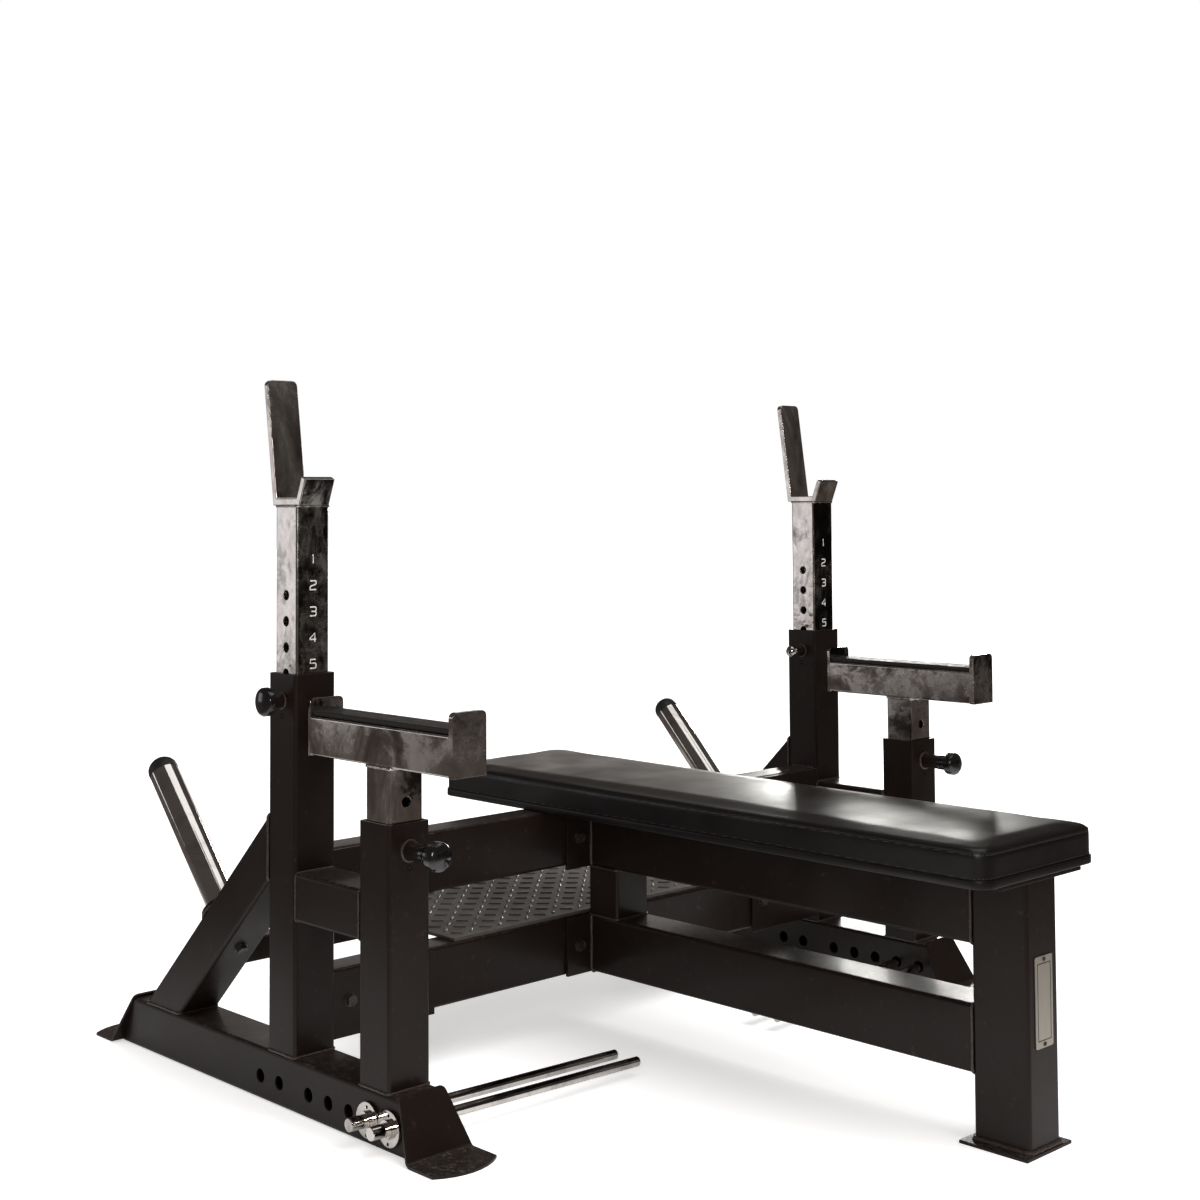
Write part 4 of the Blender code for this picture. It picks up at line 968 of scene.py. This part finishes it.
def softLight(name, place, aim, width, height, radiance, tint, seenInMirrors=True):
    data = bpy.data.lights.new(name, "AREA")
    data.shape = "RECTANGLE"
    data.size = width
    data.size_y = height
    data.energy = radiance * math.pi * width * height
    data.color = linearColour(tint)[:3]
    lamp = bpy.data.objects.new(name, data)
    bpy.context.scene.collection.objects.link(lamp)
    lamp.location = place
    lamp.rotation_euler = (Vector(aim) - Vector(place)).to_track_quat("-Z", "Y").to_euler()
    lamp.visible_camera = False
    lamp.visible_glossy = seenInMirrors


def mirrorFlag():
    # a black cloth out of the camera's view, which the front faces of the chrome mirror
    bpy.ops.mesh.primitive_plane_add(size=1.0, location=(2.38, -4.23, 0.64))
    flag = bpy.context.object
    flag.name = "black_flag"
    flag.scale = (7.0, 1.13, 1.0)
    flag.rotation_euler = (math.pi / 2, 0, math.radians(36.9))
    cloth, tree, shader, place = newMaterial("blackVelvet", {"Roughness": 1.0, "Specular IOR Level": 0.0})
    nap = addNode(tree, "ShaderNodeTexNoise", {"Scale": 3.0}, {"Vector": place})
    shade = mixColours(tree, "#060606", "#161514", nap.outputs["Fac"])
    tree.links.new(shade.outputs[2], shader.inputs["Base Color"])
    flag.data.materials.append(cloth)
    for visibility in ("visible_camera", "visible_diffuse", "visible_shadow"):
        setattr(flag, visibility, False)


studioFloor()
softLight("left_back_box", (-2.65, 3.15, 0.88), (0.0, 0.1, 0.8), 1.25, 1.05, 1.1, "#fbfaff")
softLight("right_back_box", (3.15, 1.97, 1.16), (0.1, -0.5, 0.45), 0.8, 0.45, 24.0, "#fffdf8")
softLight("right_back_spot", (3.07, 2.29, 1.13), (0.0, -0.3, 0.45), 0.2, 0.2, 22.0, "#ffffff")
softLight("back_glow", (2.9, 3.6, 1.05), (0.0, 0.0, 0.45), 3.4, 0.9, 0.8, "#fff6ee")
softLight("camera_side_box", (-2.9, -2.7, 1.7), (0.0, 0.0, 0.5), 0.4, 0.9, 26.0, "#fff8f2")
mirrorFlag()
softLight("top_box", (0.3, -0.4, 3.2), (0.0, 0.0, 0.4), 2.2, 2.2, 1.2, "#ffffff")
sunLook = {"strength": 1.9, "angle": 45, "towards": (-0.3, 0.8, -1.25)}
sunData = bpy.data.lights.new("soft_sun", "SUN")
sunData.energy = sunLook["strength"]
sunData.angle = math.radians(sunLook["angle"])
sun = bpy.data.objects.new("soft_sun", sunData)
bpy.context.scene.collection.objects.link(sun)
sun.rotation_euler = Vector(sunLook["towards"]).to_track_quat("-Z", "Y").to_euler()
sun.visible_glossy = False

# the room: white behind the object, dim and warm in its mirrors, even light on all sides
world = bpy.data.worlds.new("studio")
bpy.context.scene.world = world
world.use_nodes = True
worldTree = world.node_tree
worldTree.nodes.clear()
seen = addNode(worldTree, "ShaderNodeBackground", {"Color": (1.0, 1.0, 1.0, 1.0), "Strength": 1.0})
mirrored = addNode(worldTree, "ShaderNodeBackground", {"Color": linearColour("#4c4845"), "Strength": 1.0})
shed = addNode(worldTree, "ShaderNodeBackground", {"Color": linearColour("#f4f3f2"), "Strength": 0.66})
rays = addNode(worldTree, "ShaderNodeLightPath")
inner = addNode(worldTree, "ShaderNodeMixShader", {}, {0: rays.outputs["Is Glossy Ray"], 1: shed.outputs[0],
                                                       2: mirrored.outputs[0]})
outer = addNode(worldTree, "ShaderNodeMixShader", {}, {0: rays.outputs["Is Camera Ray"], 1: inner.outputs[0],
                                                       2: seen.outputs[0]})
addNode(worldTree, "ShaderNodeOutputWorld", {}, {"Surface": outer.outputs[0]})
bpy.context.scene.view_settings.view_transform = "Standard"

view = {"place": (-2.2263, -2.3659 + uprightY, 0.9319), "forward": (0.69889, 0.71376, 0.04586), "roll": -0.39,
        "lens": 53.58, "shiftX": -0.0333, "shiftY": -0.15}
forward = Vector(view["forward"]).normalized()
level = forward.cross(Vector((0, 0, 1))).normalized()
raised = level.cross(forward)
roll = math.radians(view["roll"])
right = math.cos(roll) * level + math.sin(roll) * raised
up = right.cross(forward)
cameraData = bpy.data.cameras.new("camera")
cameraData.lens = view["lens"]
cameraData.sensor_width = 36.0
cameraData.shift_x = view["shiftX"]
cameraData.shift_y = view["shiftY"]
cameraData.clip_end = 100.0
camera = bpy.data.objects.new("camera", cameraData)
bpy.context.scene.collection.objects.link(camera)
camera.matrix_world = Matrix.Translation(view["place"]) @ Matrix((right, up, -forward)).transposed().to_4x4()
bpy.context.scene.camera = camera
print("studio set")
